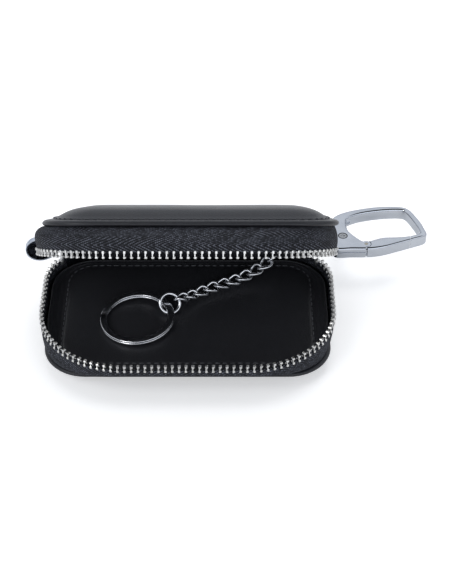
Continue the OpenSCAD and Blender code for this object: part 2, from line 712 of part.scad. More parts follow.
// Anchor ring at the other end, held by a leather keeper on the spine
anchor_d = 4.5;
anchor_wire = 1.2;
keeper_w = 4.6;
keeper_h = 3.6;
last = link_count - 1;
anchor_hold = (wire + anchor_wire) / 2 + ring_slack - bow_out;
anchor_mid = link_start(last) + (link_spacing - anchor_hold + anchor_d / 2) * heading(last);
anchor_far = anchor_mid + anchor_d / 2 * heading(last);
module anchor_at(extra) {
    translate(anchor_mid) rotate([0, -link_climbs[last], link_yaws[last]])
        rotate([-link_twist, 0, 0]) ring(anchor_d, anchor_wire + extra);
}
module anchor() {
    color([0.76, 0.78, 0.82]) anchor_at(0);
}
// The keeper reaches from the middle of the ring's far wire back to the spine
keeper_front = anchor_far.y - anchor_wire / 4;
keeper_back = min(wall_numbers(anchor_far.z - keeper_h / 2, spine_t)[2],
    wall_numbers(anchor_far.z + keeper_h / 2, spine_t)[2]) - leg_clear;
module keeper() {
    color([0.09, 0.09, 0.1]) difference() {
        translate([anchor_far.x - keeper_w / 2, keeper_front, anchor_far.z - keeper_h / 2])
            cube([keeper_w, keeper_back - keeper_front, keeper_h]);
        anchor_at(2 * leg_clear);
    }
}

// Split ring: two flat turns of wire, joined by a short step
split_turn_h = split_h / 2;
split_yaw_angle = 28;
split_back = 14.85;
split_tilt_angle = 3.5;
split_step_angle = 14;
split_start_angle = 150;
split_lie = split_od / 2 * sin(split_tilt_angle) + gap;
module turn(z, a0, a1, h, ease = 0) {
    rotate([0, 0, a0]) translate([0, 0, z + ease]) rotate_extrude(angle = a1 - a0, $fn = 72)
        translate([split_od / 2 - split_wire + ease, 0]) square([split_wire - 2 * ease, h - 2 * ease]);
}
module split() {
    color([0.7, 0.72, 0.77])
        translate([jump_mid.x - split_back * cos(split_yaw_angle),
            jump_mid.y - split_back * sin(split_yaw_angle), floor_z + split_lie])
            rotate([0, 0, split_yaw_angle]) rotate([0, -split_tilt_angle, 0]) rotate([0, 0, split_start_angle]) {
                turn(0, 0, full_turn - split_step_angle, split_turn_h - gap / 2);
                turn(split_turn_h, split_step_angle, full_turn, split_turn_h - gap / 2);
                // The step where the wire climbs from one turn to the next
                turn(0, -split_step_angle * 1.5, split_step_angle / 2, split_h - gap / 2, leg_clear);
            }
}

cover();  // lower_cover
padding();  // lower_padding
board();  // lower_board
lining();  // lower_lining
tape(tape_end_angle, tape_end_angle);  // lower_tape
teeth(0);  // lower_teeth
lower_spine();  // spine_lower
lid_place() cover($drift = lid_drift);  // lid_cover
lid_place() padding($drift = lid_drift);  // lid_padding
lid_place() board($drift = lid_drift);  // lid_board
lid_place() lining($drift = lid_drift);  // lid_lining
lid_place() tape(tape_end_angle_left_lid, tape_end_angle, $drift = lid_drift);  // lid_tape
lid_place() teeth(0.5);  // lid_teeth
lid_place()  // spine_upper
        spine_half(hinge_z - crease_gap, spine_start_angle_left_lid, spine_start_angle, $drift = lid_drift);
slider();  // zip_slider
puller();  // zip_puller
strap();  // hook_strap
hook();  // hook_body
gate();  // hook_gate
pin();  // gate_pin
spring();  // gate_spring
screw();  // clamp_screw
post();  // clamp_post
keeper();  // anchor_keeper
anchor();  // anchor_ring
row_stop(-1);  // zip_bottom_stop
row_stop(1);  // zip_top_stop_lower
lid_place() row_stop(1);  // zip_top_stop_lid
link(0);  // chain_link_01
link(1);  // chain_link_02
link(2);  // chain_link_03
link(3);  // chain_link_04
link(4);  // chain_link_05
link(5);  // chain_link_06
link(6);  // chain_link_07
link(7);  // chain_link_08
link(8);  // chain_link_09
jump();  // jump_ring
split();  // split_ring
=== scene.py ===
import math

import bmesh
import bpy
from mathutils import Matrix, Vector, noise


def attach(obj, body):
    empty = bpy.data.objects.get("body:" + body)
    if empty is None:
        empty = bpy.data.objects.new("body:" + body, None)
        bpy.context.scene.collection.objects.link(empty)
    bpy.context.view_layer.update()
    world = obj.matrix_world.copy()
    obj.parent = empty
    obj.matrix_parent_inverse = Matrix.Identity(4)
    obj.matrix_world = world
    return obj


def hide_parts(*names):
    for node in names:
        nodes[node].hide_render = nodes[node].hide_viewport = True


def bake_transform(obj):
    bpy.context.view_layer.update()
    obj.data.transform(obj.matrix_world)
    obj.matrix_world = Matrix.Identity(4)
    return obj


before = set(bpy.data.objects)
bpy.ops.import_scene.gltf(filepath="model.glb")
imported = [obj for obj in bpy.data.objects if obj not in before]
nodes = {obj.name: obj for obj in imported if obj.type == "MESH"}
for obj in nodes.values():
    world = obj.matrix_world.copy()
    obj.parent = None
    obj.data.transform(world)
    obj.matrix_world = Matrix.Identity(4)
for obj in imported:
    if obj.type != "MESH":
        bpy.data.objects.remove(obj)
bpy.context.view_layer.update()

# Camera, floor and lights.
# A long lens looks down at the open case from the front. The case lies on a white sheet
# under three soft lamps, with a bright window wall before it and a dark ceiling above.
look_down = 41.0


def in_scene(name, data):
    """An object that holds some data, put into the scene."""
    made = bpy.data.objects.new(name, data)
    bpy.context.scene.collection.objects.link(made)
    return made


camera_data = bpy.data.cameras.new("camera")
camera_data.lens, camera_data.sensor_width = 88.15, 36.0
camera_data.clip_start, camera_data.clip_end = 0.01, 20.0
camera = in_scene("camera", camera_data)
camera.location = (0.0154, -0.4393, 0.4006)
camera.rotation_euler = (math.radians(90.0 - look_down), 0.0, 0.0)
bpy.context.scene.camera = camera
bpy.context.scene.view_settings.view_transform = "Standard"


def feed(tree, made, takes):
    """Give inputs of a node plain values, or the outputs of other nodes."""
    for slot, value in takes.items():
        if isinstance(value, bpy.types.NodeSocket):
            tree.links.new(value, made.inputs[slot])
        else:
            made.inputs[slot].default_value = value
    return made


def add_node(tree, kind, takes=None, **settings):
    """A new node, with its settings made before its inputs are fed."""
    made = tree.nodes.new(kind)
    for key, value in settings.items():
        setattr(made, key, value)
    return feed(tree, made, takes or {})


def worked(tree, operation, *values):
    """The result of one sum on outputs or plain numbers."""
    return add_node(tree, "ShaderNodeMath", dict(enumerate(values)), operation=operation).outputs[0]


def colour_ramp(tree, amount, low, high, low_at=0.0, high_at=1.0):
    """A blend from one colour to another over part of an amount's span."""
    made = add_node(tree, "ShaderNodeValToRGB", {"Fac": amount})
    for stop, at, colour in zip(made.color_ramp.elements, (low_at, high_at), (low, high)):
        stop.position, stop.color = at, (*colour, 1)
    return made.outputs["Color"]


def ranged(tree, amount, low, high, low_at=0.0, high_at=1.0):
    """An amount carried over to lie between two values, over part of its span."""
    limits = {"From Min": low_at, "From Max": high_at, "To Min": low, "To Max": high}
    return add_node(tree, "ShaderNodeMapRange", {"Value": amount, **limits}).outputs["Result"]


def new_finish(name):
    """A new material, its tree and its main shader."""
    finish = bpy.data.materials.new(name)
    finish.use_nodes = True
    return finish, finish.node_tree, finish.node_tree.nodes["Principled BSDF"]


sheet_drop, sheet_glow = 0.0002, 0.42
sheet_corners = [(x, y, -sheet_drop) for x, y in ((-3, -3), (3, -3), (3, 3), (-3, 3))]
floor_mesh = bpy.data.meshes.new("floor_sheet")
floor_mesh.from_pydata(sheet_corners, [], [(0, 1, 2, 3)])
floor_sheet = in_scene("floor_sheet", floor_mesh)
floor_paint, tree, shader = new_finish("floor_paint")
feed(tree, shader, {"Base Color": (0.9, 0.9, 0.9, 1), "Roughness": 0.9})
seen = add_node(tree, "ShaderNodeLightPath").outputs["Is Camera Ray"]
glow = add_node(tree, "ShaderNodeEmission", {"Strength": worked(tree, "MULTIPLY", seen, sheet_glow)})
both = add_node(tree, "ShaderNodeAddShader", {0: shader.outputs[0], 1: glow.outputs[0]})
feed(tree, tree.nodes["Material Output"], {"Surface": both.outputs[0]})
floor_mesh.materials.append(floor_paint)

world = bpy.data.worlds.new("studio")
bpy.context.scene.world = world
world.use_nodes = True
tree = world.node_tree
way = add_node(tree, "ShaderNodeTexCoord").outputs["Generated"]
rise = add_node(tree, "ShaderNodeSeparateXYZ", {0: way}).outputs["Z"]
strength, near = 1.0, 0.86
# The bright wall in front of the table, then the dark ceiling above it
for direction, far, inside in (((0.0, -0.86, 0.51), 0.62, 1.75), ((0.0, -0.21, 0.98), 0.77, 0.03)):
    facing = add_node(tree, "ShaderNodeVectorMath", {0: way, 1: direction}, operation="DOT_PRODUCT")
    zone = ranged(tree, facing.outputs["Value"], 1.0, inside, far, near)
    strength = worked(tree, "MULTIPLY", zone, strength)
wall_tint = colour_ramp(tree, rise, (0.42, 0.44, 0.48), (0.74, 0.77, 0.82), high_at=0.6)
sky = feed(tree, tree.nodes["Background"], {"Color": wall_tint, "Strength": strength})
white = add_node(tree, "ShaderNodeBackground", {"Color": (1, 1, 1, 1)})
seen = add_node(tree, "ShaderNodeLightPath").outputs["Is Camera Ray"]
swap = add_node(tree, "ShaderNodeMixShader", {0: seen, 1: sky.outputs[0], 2: white.outputs[0]})
feed(tree, tree.nodes["World Output"], {"Surface": swap.outputs[0]})

lamps = {
    # name: place, aim, size, power
    "front_softbox": ((-0.45, -0.45, 0.75), (0.0, 0.0, 0.0), 0.35, 1.6),
    "back_softbox": ((0.1, 0.9, 0.5), (0.0, 0.0, 0.02), 0.6, 1.8),
    "top_softbox": ((0.1, 0.1, 1.1), (0.0, 0.0, 0.0), 0.5, 2.4),
}
for lamp_name, (place, aim, size, power) in lamps.items():
    lamp_data = bpy.data.lights.new(lamp_name, "AREA")
    lamp_data.size, lamp_data.energy = size, power
    lamp = in_scene(lamp_name, lamp_data)
    lamp.location = place
    lamp.rotation_euler = (Vector(aim) - Vector(place)).to_track_quat("-Z", "Y").to_euler()
    lamp.visible_glossy = lamp_name == "front_softbox"

# Leather covers of the two shells.
# Each is charcoal leather moulded over foam: a flat crown with soft
# shoulders, a sewn seam, and a rolled rim that the zip tape is sewn under.
panel_hx, panel_hy, panel_r = 57.2, 36.25, 17.0
crown_h, rim_h = 5.4, 2.3
rim_z = crown_h + rim_h
hinge_y, hinge_z = 28.65, 18.5
lid_open = math.radians(36.7)
lid_drift = 1.5
tape_top = 16.35
# Sizes are in millimetres, and this turns them into the scene's metres
mm = 0.001

# Points in each straight and each corner of a ring round the case
front_parts, corner_parts, side_parts = 36, 14, 18
least_r, corner_share = 0.4, 0.75


def arc(cx, cy, r, start, end, parts):
    """Points round an arc between two angles in degrees, both ends included."""
    turns = [math.radians(start + (end - start) * i / parts) for i in range(parts + 1)]
    return [(cx + r * math.cos(a), cy + r * math.sin(a)) for a in turns]


def straight(a, b, parts):
    """Points along a straight line, both ends included."""
    return [(a[0] + (b[0] - a[0]) * i / parts, a[1] + (b[1] - a[1]) * i / parts) for i in range(parts + 1)]


def ring_round(hx, yf, yb, rf, rb):
    """A ring of points round a rounded rectangle, from the middle of its front."""
    rf, rb = max(rf, least_r), max(rb, least_r)
    xf, xb = hx - rf, hx - rb
    stretches = [
        straight((0, yf), (xf, yf), front_parts), arc(xf, yf + rf, rf, -90, 0, corner_parts),
        straight((hx, yf + rf), (hx, yb - rb), side_parts), arc(xb, yb - rb, rb, 0, 90, corner_parts),
        straight((xb, yb), (-xb, yb), front_parts * 2), arc(-xb, yb - rb, rb, 90, 180, corner_parts),
        straight((-hx, yb - rb), (-hx, yf + rf), side_parts), arc(-xf, yf + rf, rf, 180, 270, corner_parts),
        straight((-xf, yf), (0, yf), front_parts)]
    return [p for stretch in stretches for p in stretch[:-1]]


def panel_ring(inset, z):
    """The panel's outline drawn in by an inset, at a height."""
    hy, r = panel_hy - inset, panel_r - corner_share * inset
    return [(x, y, z) for x, y in ring_round(panel_hx - inset, -hy, hy, r, r)]


def smooth_step(p0, p1, p2, p3, parts):
    """Points of a smooth line from the second of four points up to the third."""
    out = []
    for k in range(parts):
        t = k / parts
        out.append(tuple(0.5 * (2 * b + (c - a) * t + (2 * a - 5 * b + 4 * c - d) * t * t
                                + (3 * b - a - 3 * c + d) * t ** 3) for a, b, c, d in zip(p0, p1, p2, p3)))
    return out


def eased(points, parts=3):
    """More points along a smooth line through the given ones."""
    out, last = [], len(points) - 1
    for i in range(last):
        out += smooth_step(points[max(i - 1, 0)], points[i], points[i + 1], points[min(i + 2, last)], parts)
    return out + [tuple(points[-1])]


def share(v, start, end):
    """How far a value has come from a start to an end, from 0 to 1."""
    return max(0.0, min(1.0, (v - start) / (end - start)))


def soft_share(v, start, end):
    """The same share, slow at both ends."""
    t = share(v, start, end)
    return t * t * (3 - 2 * t)


def to_lid(p):
    """Where a point of the lower shell lies on the opened lid, in millimetres."""
    x = p[0] + lid_drift * max(0.0, tape_top - p[2]) / (tape_top - rim_z)
    y, z = p[1] - hinge_y, hinge_z - p[2]
    c, s = math.cos(-lid_open), math.sin(-lid_open)
    return (x, hinge_y + y * c - z * s, hinge_z + y * s + z * c)


def turned_round(faces):
    return [tuple(reversed(f)) for f in faces]


def new_piece(name, verts, faces, on_lid=False):
    """An object from millimetre points, smooth, with its faces outwards."""
    if on_lid:
        verts, faces = [to_lid(v) for v in verts], turned_round(faces)
    mesh = bpy.data.meshes.new(name)
    mesh.from_pydata([(x * mm, y * mm, z * mm) for x, y, z in verts], [], faces)
    mesh.validate()
    mesh.polygons.foreach_set("use_smooth", [True] * len(mesh.polygons))
    return in_scene(name, mesh)


def quads(rows, length, join_rows=False, join_ends=True, across=False):
    """Faces between neighbouring rows of points, wound along the rows or across them."""
    faces = []
    for j in range(rows if join_rows else rows - 1):
        a, b = j * length, (j + 1) % rows * length
        for i in range(length if join_ends else length - 1):
            e = (i + 1) % length
            faces.append((a + i, b + i, b + e, a + e) if across else (a + i, a + e, b + e, b + i))
    return faces


def lofted(name, rings, on_lid=False):
    """A closed skin through rings, from the lowest cap to the last."""
    n, top = len(rings[0]), (len(rings) - 1) * len(rings[0])
    faces = turned_round(quads(len(rings), n)) + [tuple(range(n)), tuple(range(top + n - 1, top - 1, -1))]
    return new_piece(name, [p for ring in rings for p in ring], faces, on_lid)


def effect_group(name, inputs, outputs):
    """A shader group with named inputs and outputs, what it is given, and its output node."""
    group = bpy.data.node_groups.new(name, "ShaderNodeTree")
    for label, usual in inputs.items():
        group.interface.new_socket(label, in_out="INPUT", socket_type="NodeSocketFloat").default_value = usual
    for label in outputs:
        group.interface.new_socket(label, in_out="OUTPUT", socket_type="NodeSocketFloat")
    return group, group.nodes.new("NodeGroupInput").outputs, group.nodes.new("NodeGroupOutput")


def spotted(tree, kind, scale, takes=None, **settings):
    """A texture that is fixed to the piece's own place."""
    place = add_node(tree, "ShaderNodeTexCoord").outputs["Object"]
    return add_node(tree, kind, {"Vector": place, "Scale": scale, **(takes or {})}, **settings).outputs


def bumped(tree, height, bump, depth):
    """Normals raised by a height; the depth is in metres."""
    takes = {"Height": height, "Strength": bump, "Distance": depth}
    return add_node(tree, "ShaderNodeBump", takes).outputs["Normal"]


# Pebbled grain: its height, a mask of its raised tops, which sets the painted shade in the creases, and broad
# clouds of shade
leather_grain, given, out = effect_group("leather_grain", {"Pebble size": 900.0, "Crease depth": 0.6},
                                         ("Height", "Tops", "Clouds"))
cells = spotted(leather_grain, "ShaderNodeTexVoronoi", given["Pebble size"], feature="SMOOTH_F1")
pits = spotted(leather_grain, "ShaderNodeTexNoise", 2600.0, {"Detail": 4.0})
clouds = spotted(leather_grain, "ShaderNodeTexNoise", 70.0, {"Detail": 5.0})
dome = worked(leather_grain, "MULTIPLY", cells["Distance"], given["Crease depth"])
height = worked(leather_grain, "SUBTRACT", pits["Fac"], dome)
tops = ranged(leather_grain, height, 0.0, 1.0, -0.2, 0.55)
feed(leather_grain, out, {"Height": height, "Tops": tops, "Clouds": clouds["Fac"]})


def leather(name, painted_crease_shade, top, pebble, crease, bump, rough_low, rough_high, shine=0.5):
    """A leather finish: painted shade in the creases, paler and smoother on the tops."""
    finish, tree, skin = new_finish(name)
    grain = add_node(tree, "ShaderNodeGroup", {"Pebble size": pebble, "Crease depth": crease},
                     node_tree=leather_grain).outputs
    # The creases are painted darker than the tops, as painted shade in the grain.
    crease_shaded_grain = add_node(tree, "ShaderNodeMix", {"Factor": grain["Tops"], "A": (*painted_crease_shade, 1), "B": (*top, 1)},
                    data_type="RGBA")
    cloud = colour_ramp(tree, grain["Clouds"], (0.62, 0.62, 0.64), (1, 1, 1), 0.3, 0.7)
    shade = add_node(tree, "ShaderNodeMix", {"Factor": 0.35, "A": crease_shaded_grain.outputs["Result"], "B": cloud},
                     data_type="RGBA", blend_type="MULTIPLY")
    feed(tree, skin, {"Base Color": shade.outputs["Result"], "Specular IOR Level": shine,
                      "Roughness": ranged(tree, grain["Tops"], rough_high, rough_low),
                      "Normal": bumped(tree, grain["Height"], bump, 0.00012)})
    return finish


def set_piece(piece, finish, body, node):
    """Paint a finished piece, fix it to its body and let it stand for its node."""
    piece.data.materials.clear()
    piece.data.materials.append(finish)
    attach(piece, body)
    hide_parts(node)


cover_leather = leather("cover_leather", (0.0143, 0.0148, 0.0177), (0.0247, 0.0255, 0.0300),
                        1500.0, 0.5, 0.45, 0.29, 0.42, shine=0.42)
# Insets from the panel's edge and heights: from the crown's middle out to the seam,
# round the rim, and back inside
crown_profile = [
    (34.4, 0.0), (30.0, 0.0), (24.0, 0.0), (20.0, 0.02), (17.0, 0.1), (14.5, 0.38), (12.0, 0.88), (10.0, 1.5),
    (8.4, 2.2), (7.2, 2.85), (6.3, 3.4), (5.6, 3.85), (4.9, 4.25), (4.2, 4.62), (3.7, 4.95),
    (3.35, 5.3), (3.05, 5.62), (2.7, 5.5), (2.1, 5.3), (1.3, 5.32), (0.6, 5.5), (0.1, 5.85),
    (-0.25, 6.35), (-0.25, 6.9), (0.05, 7.38), (0.7, 7.64), (1.6, 7.7), (2.6, 7.7), (3.4, 7.7)]
cover_inside = [(3.45, 7.2), (3.6, 6.4), (6.3, 6.2), (7.5, 4.8), (9.1, 3.6), (11.3, 2.5), (14.1, 1.7),
                (17.5, 1.35)]
fullness, swell_h, ripple_h = 0.16, 0.16, 0.03
# The lower crown stays flat up to this height, where it rests
rest_h = 0.3


def soft_cover(name, on_lid):
    """The leather skin of one shell, a little uneven as padded leather is."""
    rings = []
    for inset, z in eased(crown_profile):
        crown, fade = share(inset, 6.0, 14.0), share(inset, 34.0, 22.0)
        ring = []
        for x, y, h in panel_ring(inset, z):
            swell = swell_h * noise.noise(Vector((x * 0.035, y * 0.035, 3.1 if on_lid else 8.7)))
            ripple = ripple_h * noise.noise(Vector((x * 0.11, y * 0.11, 5.0)))
            raised = crown * (fullness + fade * (swell + ripple))
            ring.append((x, y, h + raised if h > rest_h or on_lid else h))
        rings.append(ring)
    return lofted(name, rings + [panel_ring(inset, z) for inset, z in cover_inside], on_lid)


shells = (("lower", "tray", False), ("lid", "lid", True))
for side, body, on_lid in shells:
    piece = soft_cover(side + "_cover_skin", on_lid)
    set_piece(piece, cover_leather, body, side + "_cover")

# Foam and board inside each cover.
# The foam is a cut sheet pressed into the crown and the board is grey card;
# both are closed in and only hold the leather's shape.
foam, tree, stuff = new_finish("foam")
pores = spotted(tree, "ShaderNodeTexVoronoi", 2200.0)["Distance"]
# The pores are painted darker than the foam, as painted shade in their hollows.
feed(tree, stuff, {"Base Color": colour_ramp(tree, pores, (0.05, 0.05, 0.052), (0.13, 0.13, 0.135)),
                   "Normal": bumped(tree, pores, 0.6, 0.0003), "Roughness": 0.95})
foam_profile = [(34.0, 1.5), (24.0, 1.5), (17.6, 1.5), (14.3, 1.85), (11.6, 2.7), (9.4, 3.8), (7.9, 4.9),
                (7.8, 5.3), (12.0, 5.36), (24.0, 5.38), (34.0, 5.38)]
for side, body, on_lid in shells:
    piece = lofted(side + "_foam", [panel_ring(inset, z) for inset, z in foam_profile], on_lid)
    set_piece(piece, foam, body, side + "_padding")

card, tree, stuff = new_finish("card")
fibres = spotted(tree, "ShaderNodeTexNoise", 900.0, {"Detail": 6.0})["Fac"]
feed(tree, stuff, {"Base Color": colour_ramp(tree, fibres, (0.13, 0.11, 0.085), (0.24, 0.21, 0.17)),
                   "Roughness": 0.9})
for side, body, on_lid in shells:
    board = nodes[side + "_board"].data.materials
    board.clear()
    board.append(card)

# Lining of each shell.
# Thin black leather, smooth and dull, sits on the board and turns up inside
# the tape; a sewn line runs round its floor, and its top edge is folded over.
lean_a, lean_b = 2.2, 1.2
mouth_hx, mouth_front = 59.2, -44.35
mouth_front_r, mouth_rear_r = 35.0, 20.0
tape_inset, tape_t = 1.2, 0.8
floor_z = 7.62


def wall_numbers(z, off):
    """Half width, front, back and the two corner radii of the wall at a height."""
    t = min(1.0, (z - rim_z) / (tape_top - rim_z))
    f = t * (lean_a - lean_b * t)
    low_hx, low_hy, low_r = panel_hx - tape_inset, panel_hy - tape_inset, panel_r - tape_inset
    return (low_hx + (mouth_hx - low_hx) * f - off, -low_hy + (mouth_front + low_hy) * f + off,
            low_hy + (hinge_y - low_hy) * f - off,
            low_r + (mouth_front_r - low_r) * f - off, low_r + (mouth_rear_r - low_r) * f - off)


lining_leather = leather("lining_leather", (0.0175, 0.0180, 0.0205), (0.0290, 0.0297, 0.0338),
                         1900.0, 0.35, 0.6, 0.30, 0.44)
floor_profile = [(34.5, 0.0), (28.0, 0.0), (20.0, 0.0), (13.0, 0.0), (9.0, 0.0), (7.4, -0.02),
                 (6.6, -0.16), (5.9, 0.0), (5.0, 0.12), (4.5, 0.45)]
# Heights of the wall and its offset inwards, then of the folded edge, a little thicker
wall_profile = [(z, 3.0) for z in (8.6, 9.3, 10.2, 11.2, 12.2, 12.9)]
fold_profile = [(13.2, 3.06), (13.45, 2.92), (13.55, 2.6), (13.45, 2.3), (13.1, 2.12),
                (12.4, 2.16), (11.0, 2.2), (9.4, 2.3), (8.4, 2.5)]
under_profile = [(4.2, 7.2), (4.6, 6.95), (7.0, 6.85), (20.0, 6.85), (34.0, 6.85)]
floor_sag, floor_swell = 0.07, 0.14


def soft_lining(name, on_lid):
    """A dish of thin leather, its floor a little uneven."""
    rings = []
    for inset, rise in eased(floor_profile):
        calm, fade = share(inset, 7.0, 13.0), share(inset, 33.0, 21.0)
        ring = []
        for x, y, z in panel_ring(inset, floor_z + rise):
            swell = noise.noise(Vector((x * 0.03, y * 0.045, 11.0 if on_lid else 2.0)))
            ring.append((x, y, z + calm * (floor_swell * fade * swell - floor_sag)))
        rings.append(ring)
    for z, off in wall_profile + fold_profile:
        rings.append([(x, y, z) for x, y in ring_round(*wall_numbers(z, off))])
    rings += [panel_ring(inset, z) for inset, z in under_profile]
    return lofted(name, rings[::-1], on_lid)


for side, body, on_lid in shells:
    set_piece(soft_lining(side + "_lining_skin", on_lid), lining_leather, body, side + "_lining")

# Zip tapes.
# Each is a woven strip, sewn under the rim and bulging outwards on its way to the teeth; its herringbone weave
# is charcoal, with blue-grey glints painted on the rib tops and painted shade between them.
weave, given, out = effect_group("herringbone_weave", {"Rib spacing": 0.0010, "Thread spacing": 0.0009,
                                                       "Band width": 0.0045}, ("Height", "Glint"))
strip = add_node(weave, "ShaderNodeUVMap", uv_map="strip").outputs["UV"]
axes = add_node(weave, "ShaderNodeSeparateXYZ", {0: strip}).outputs
along, across = axes["X"], axes["Y"]
zigzag = worked(weave, "PINGPONG", across, given["Band width"])
# Ribs climb at a low slant, and turn back where the bands meet
climbing = worked(weave, "ADD", worked(weave, "MULTIPLY", along, 0.42), zigzag)
slant = worked(weave, "DIVIDE", climbing, given["Rib spacing"])
ribs = worked(weave, "SINE", worked(weave, "MULTIPLY", slant, math.tau))
row_number = worked(weave, "FLOOR", slant)
stagger = worked(weave, "ADD", worked(weave, "DIVIDE", along, given["Thread spacing"]),
                 worked(weave, "MULTIPLY", row_number, 0.37))
threads = worked(weave, "SINE", worked(weave, "MULTIPLY", stagger, math.tau))
height = worked(weave, "ADD", worked(weave, "MULTIPLY", ribs, 0.6), worked(weave, "MULTIPLY", threads, 0.4))
cell = add_node(weave, "ShaderNodeCombineXYZ", {"X": worked(weave, "FLOOR", stagger), "Y": row_number})
chance = add_node(weave, "ShaderNodeTexWhiteNoise", {"Vector": cell.outputs[0]}, noise_dimensions="2D")
ridge = worked(weave, "POWER", worked(weave, "ADD", worked(weave, "MULTIPLY", ribs, 0.5), 0.5), 1.3)
fleck = worked(weave, "MULTIPLY", worked(weave, "ADD", worked(weave, "MULTIPLY", threads, 0.4), 0.6),
               chance.outputs["Value"])
glint = worked(weave, "MULTIPLY", ridge, worked(weave, "ADD", fleck, 0.2))
feed(weave, out, {"Height": height, "Glint": glint})

tape_cloth, tree, cloth = new_finish("tape_cloth")
woven = add_node(tree, "ShaderNodeGroup", node_tree=weave).outputs
# The colour runs from painted shade in the weave's valleys to painted glints on its rib tops.
painted_glint_tint = colour_ramp(tree, woven["Glint"], (0.0085, 0.0090, 0.0112), (0.130, 0.138, 0.168), 0.1, 0.85)
feed(tree, cloth, {"Base Color": painted_glint_tint, "Roughness": 0.72, "Specular IOR Level": 0.2,
                   "Normal": bumped(tree, woven["Height"], 0.7, 0.00018)})

tape_parts = 14
# How the tape's free edge rises between the legs of the teeth and is rounded over
tape_edge = [(0.5, 0.08), (0.58, 0.4), (0.5, 0.72)]
sewn_in = 0.15


def wall_run(z, off, left, right):
    """The wall's run round the front, from its left end angle to its right one."""
    hx, yf, yb, rf, rb = wall_numbers(z, off)
    xf, xb = hx - rf, hx - rb
    run = (arc(-xb, yb - rb, rb, 180 - left, 180, corner_parts)
           + straight((-hx, yb - rb), (-hx, yf + rf), side_parts)[1:-1]
           + arc(-xf, yf + rf, rf, 180, 270, corner_parts * 2)
           + straight((-xf, yf), (xf, yf), front_parts)[1:-1]
           + arc(xf, yf + rf, rf, 270, 360, corner_parts * 2)
           + straight((hx, yf + rf), (hx, yb - rb), side_parts)[1:-1]
           + arc(xb, yb - rb, rb, 0, right, corner_parts))
    return [(x, y, z) for x, y in run]


def puffed(p, on_lid):
    """The tape bellies out below the rim, most at the left end of the case."""
    x, y, z = p
    t = share(z, rim_z, tape_top)
    belly = math.sin(math.pi * min(1.0, t * 1.02) ** 0.55) if t < 1 else 0.0
    if on_lid:
        push = belly * 2.3 * soft_share(-x, 38, 56)
        return (x - push, y - 0.2 * push, z)
    left = belly * 1.0 * soft_share(-x, 24, 46) * soft_share(-y, 4, 30)
    right = belly * 0.4 * soft_share(x, 24, 46) * soft_share(-y, 4, 30)
    away = Vector((x - math.copysign(26, x), y + 8)).normalized()
    push = left + right
    return (x + away.x * push, y + away.y * push, z)


# The lid's tape stops its teeth short of the slider, and its tail is tucked down
tail_sink, tail_dip, tail_parts, tail_end = 3.2, 3, 14, 75


def tail_run(z, off, left):
    """The tape's tail, tucked down past the slider from the spine to the last tooth."""
    hx, yf, yb, rf, rb = wall_numbers(z, off)
    points = []
    for i, (x, y) in enumerate(arc(rb - hx, yb - rb, rb, 180 - tail_end, 180 - left, tail_parts)[:-1]):
        sunk = min(1.0, (tail_parts - i) / tail_dip) * tail_sink
        points.append((x, y, z - sunk * max(0.0, (z - rim_z) / (tape_top - rim_z))))
    return points


def lengths_along(points):
    """The distance along a line of points from the first to each."""
    out = [0.0]
    for a, b in zip(points, points[1:]):
        out.append(out[-1] + math.dist(a, b))
    return out


def woven_wall(name, left, right, on_lid):
    """A strip of tape with thickness, and a strip map in metres for its weave."""
    low = rim_z - sewn_in
    heights = [low + (tape_top - low) * i / tape_parts for i in range(tape_parts + 1)]
    loop = [(z, 0.0) for z in heights] + [(tape_top + up, off) for up, off in tape_edge]
    loop += [(z, tape_t) for z in reversed(heights)]
    rows = []
    for z, off in loop:
        run = (tail_run(z, off, left) if on_lid else []) + wall_run(z, off, left, right)
        rows.append([puffed(p, on_lid) for p in run])
    n, m = len(rows[0]), len(rows)
    run = lengths_along([p[:2] for p in rows[tape_parts // 2]])
    climb = lengths_along([row[n // 2] for row in rows + rows[:1]])
    faces = quads(m, n, join_rows=True, join_ends=False, across=True)
    laid_flat = quads(m + 1, n, join_ends=False, across=True)
    mapped = [tuple((run[c % n], climb[c // n]) for c in f) for f in laid_flat]
    end_cap, end_map = [j * n for j in range(m)], [(0.0, climb[j]) for j in range(m)]
    faces += [tuple(end_cap), tuple(c + n - 1 for c in reversed(end_cap))]
    mapped += [tuple(end_map), tuple(reversed(end_map))]
    piece = new_piece(name, [p for row in rows for p in row], turned_round(faces), on_lid)
    if not on_lid:
        mapped = turned_round(mapped)
    layer = piece.data.uv_layers.new(name="strip")
    layer.data.foreach_set("uv", [c * mm for f in mapped for uv in f for c in uv])
    return piece


for (side, body, on_lid), left in zip(shells, (60, 42)):
    set_piece(woven_wall(side + "_tape_cloth", left, 60, on_lid), tape_cloth, body, side + "_tape")

# Teeth of both rows.
# Each tooth is stamped bright metal, its two legs pinched over the tape's
# edge and its narrower head hooked to mesh with the row of the other shell.
zip_silver, tree, metal = new_finish("zip_silver")
tarnish = spotted(tree, "ShaderNodeTexNoise", 800.0, {"Detail": 3.0})["Fac"]
feed(tree, metal, {"Base Color": colour_ramp(tree, tarnish, (0.70, 0.69, 0.66), (0.93, 0.92, 0.90), 0.35, 0.6),
                   "Metallic": 1.0, "Roughness": 0.28})

half_t = tape_t / 2
row_hx, row_front, row_rear = mouth_hx - half_t, mouth_front + half_t, hinge_y - half_t
row_fr, row_rr = mouth_front_r - half_t, mouth_rear_r - half_t
tooth_pitch, tooth_mid = 2.63, 18.0
run_a = row_hx - row_fr
run_b = row_fr * math.pi / 2
run_c = (row_rear - row_rr) - (row_front + row_fr)
run_d = row_rr * math.radians(38)
row_half = run_a + run_b + run_c + run_d
fine_parts = 8


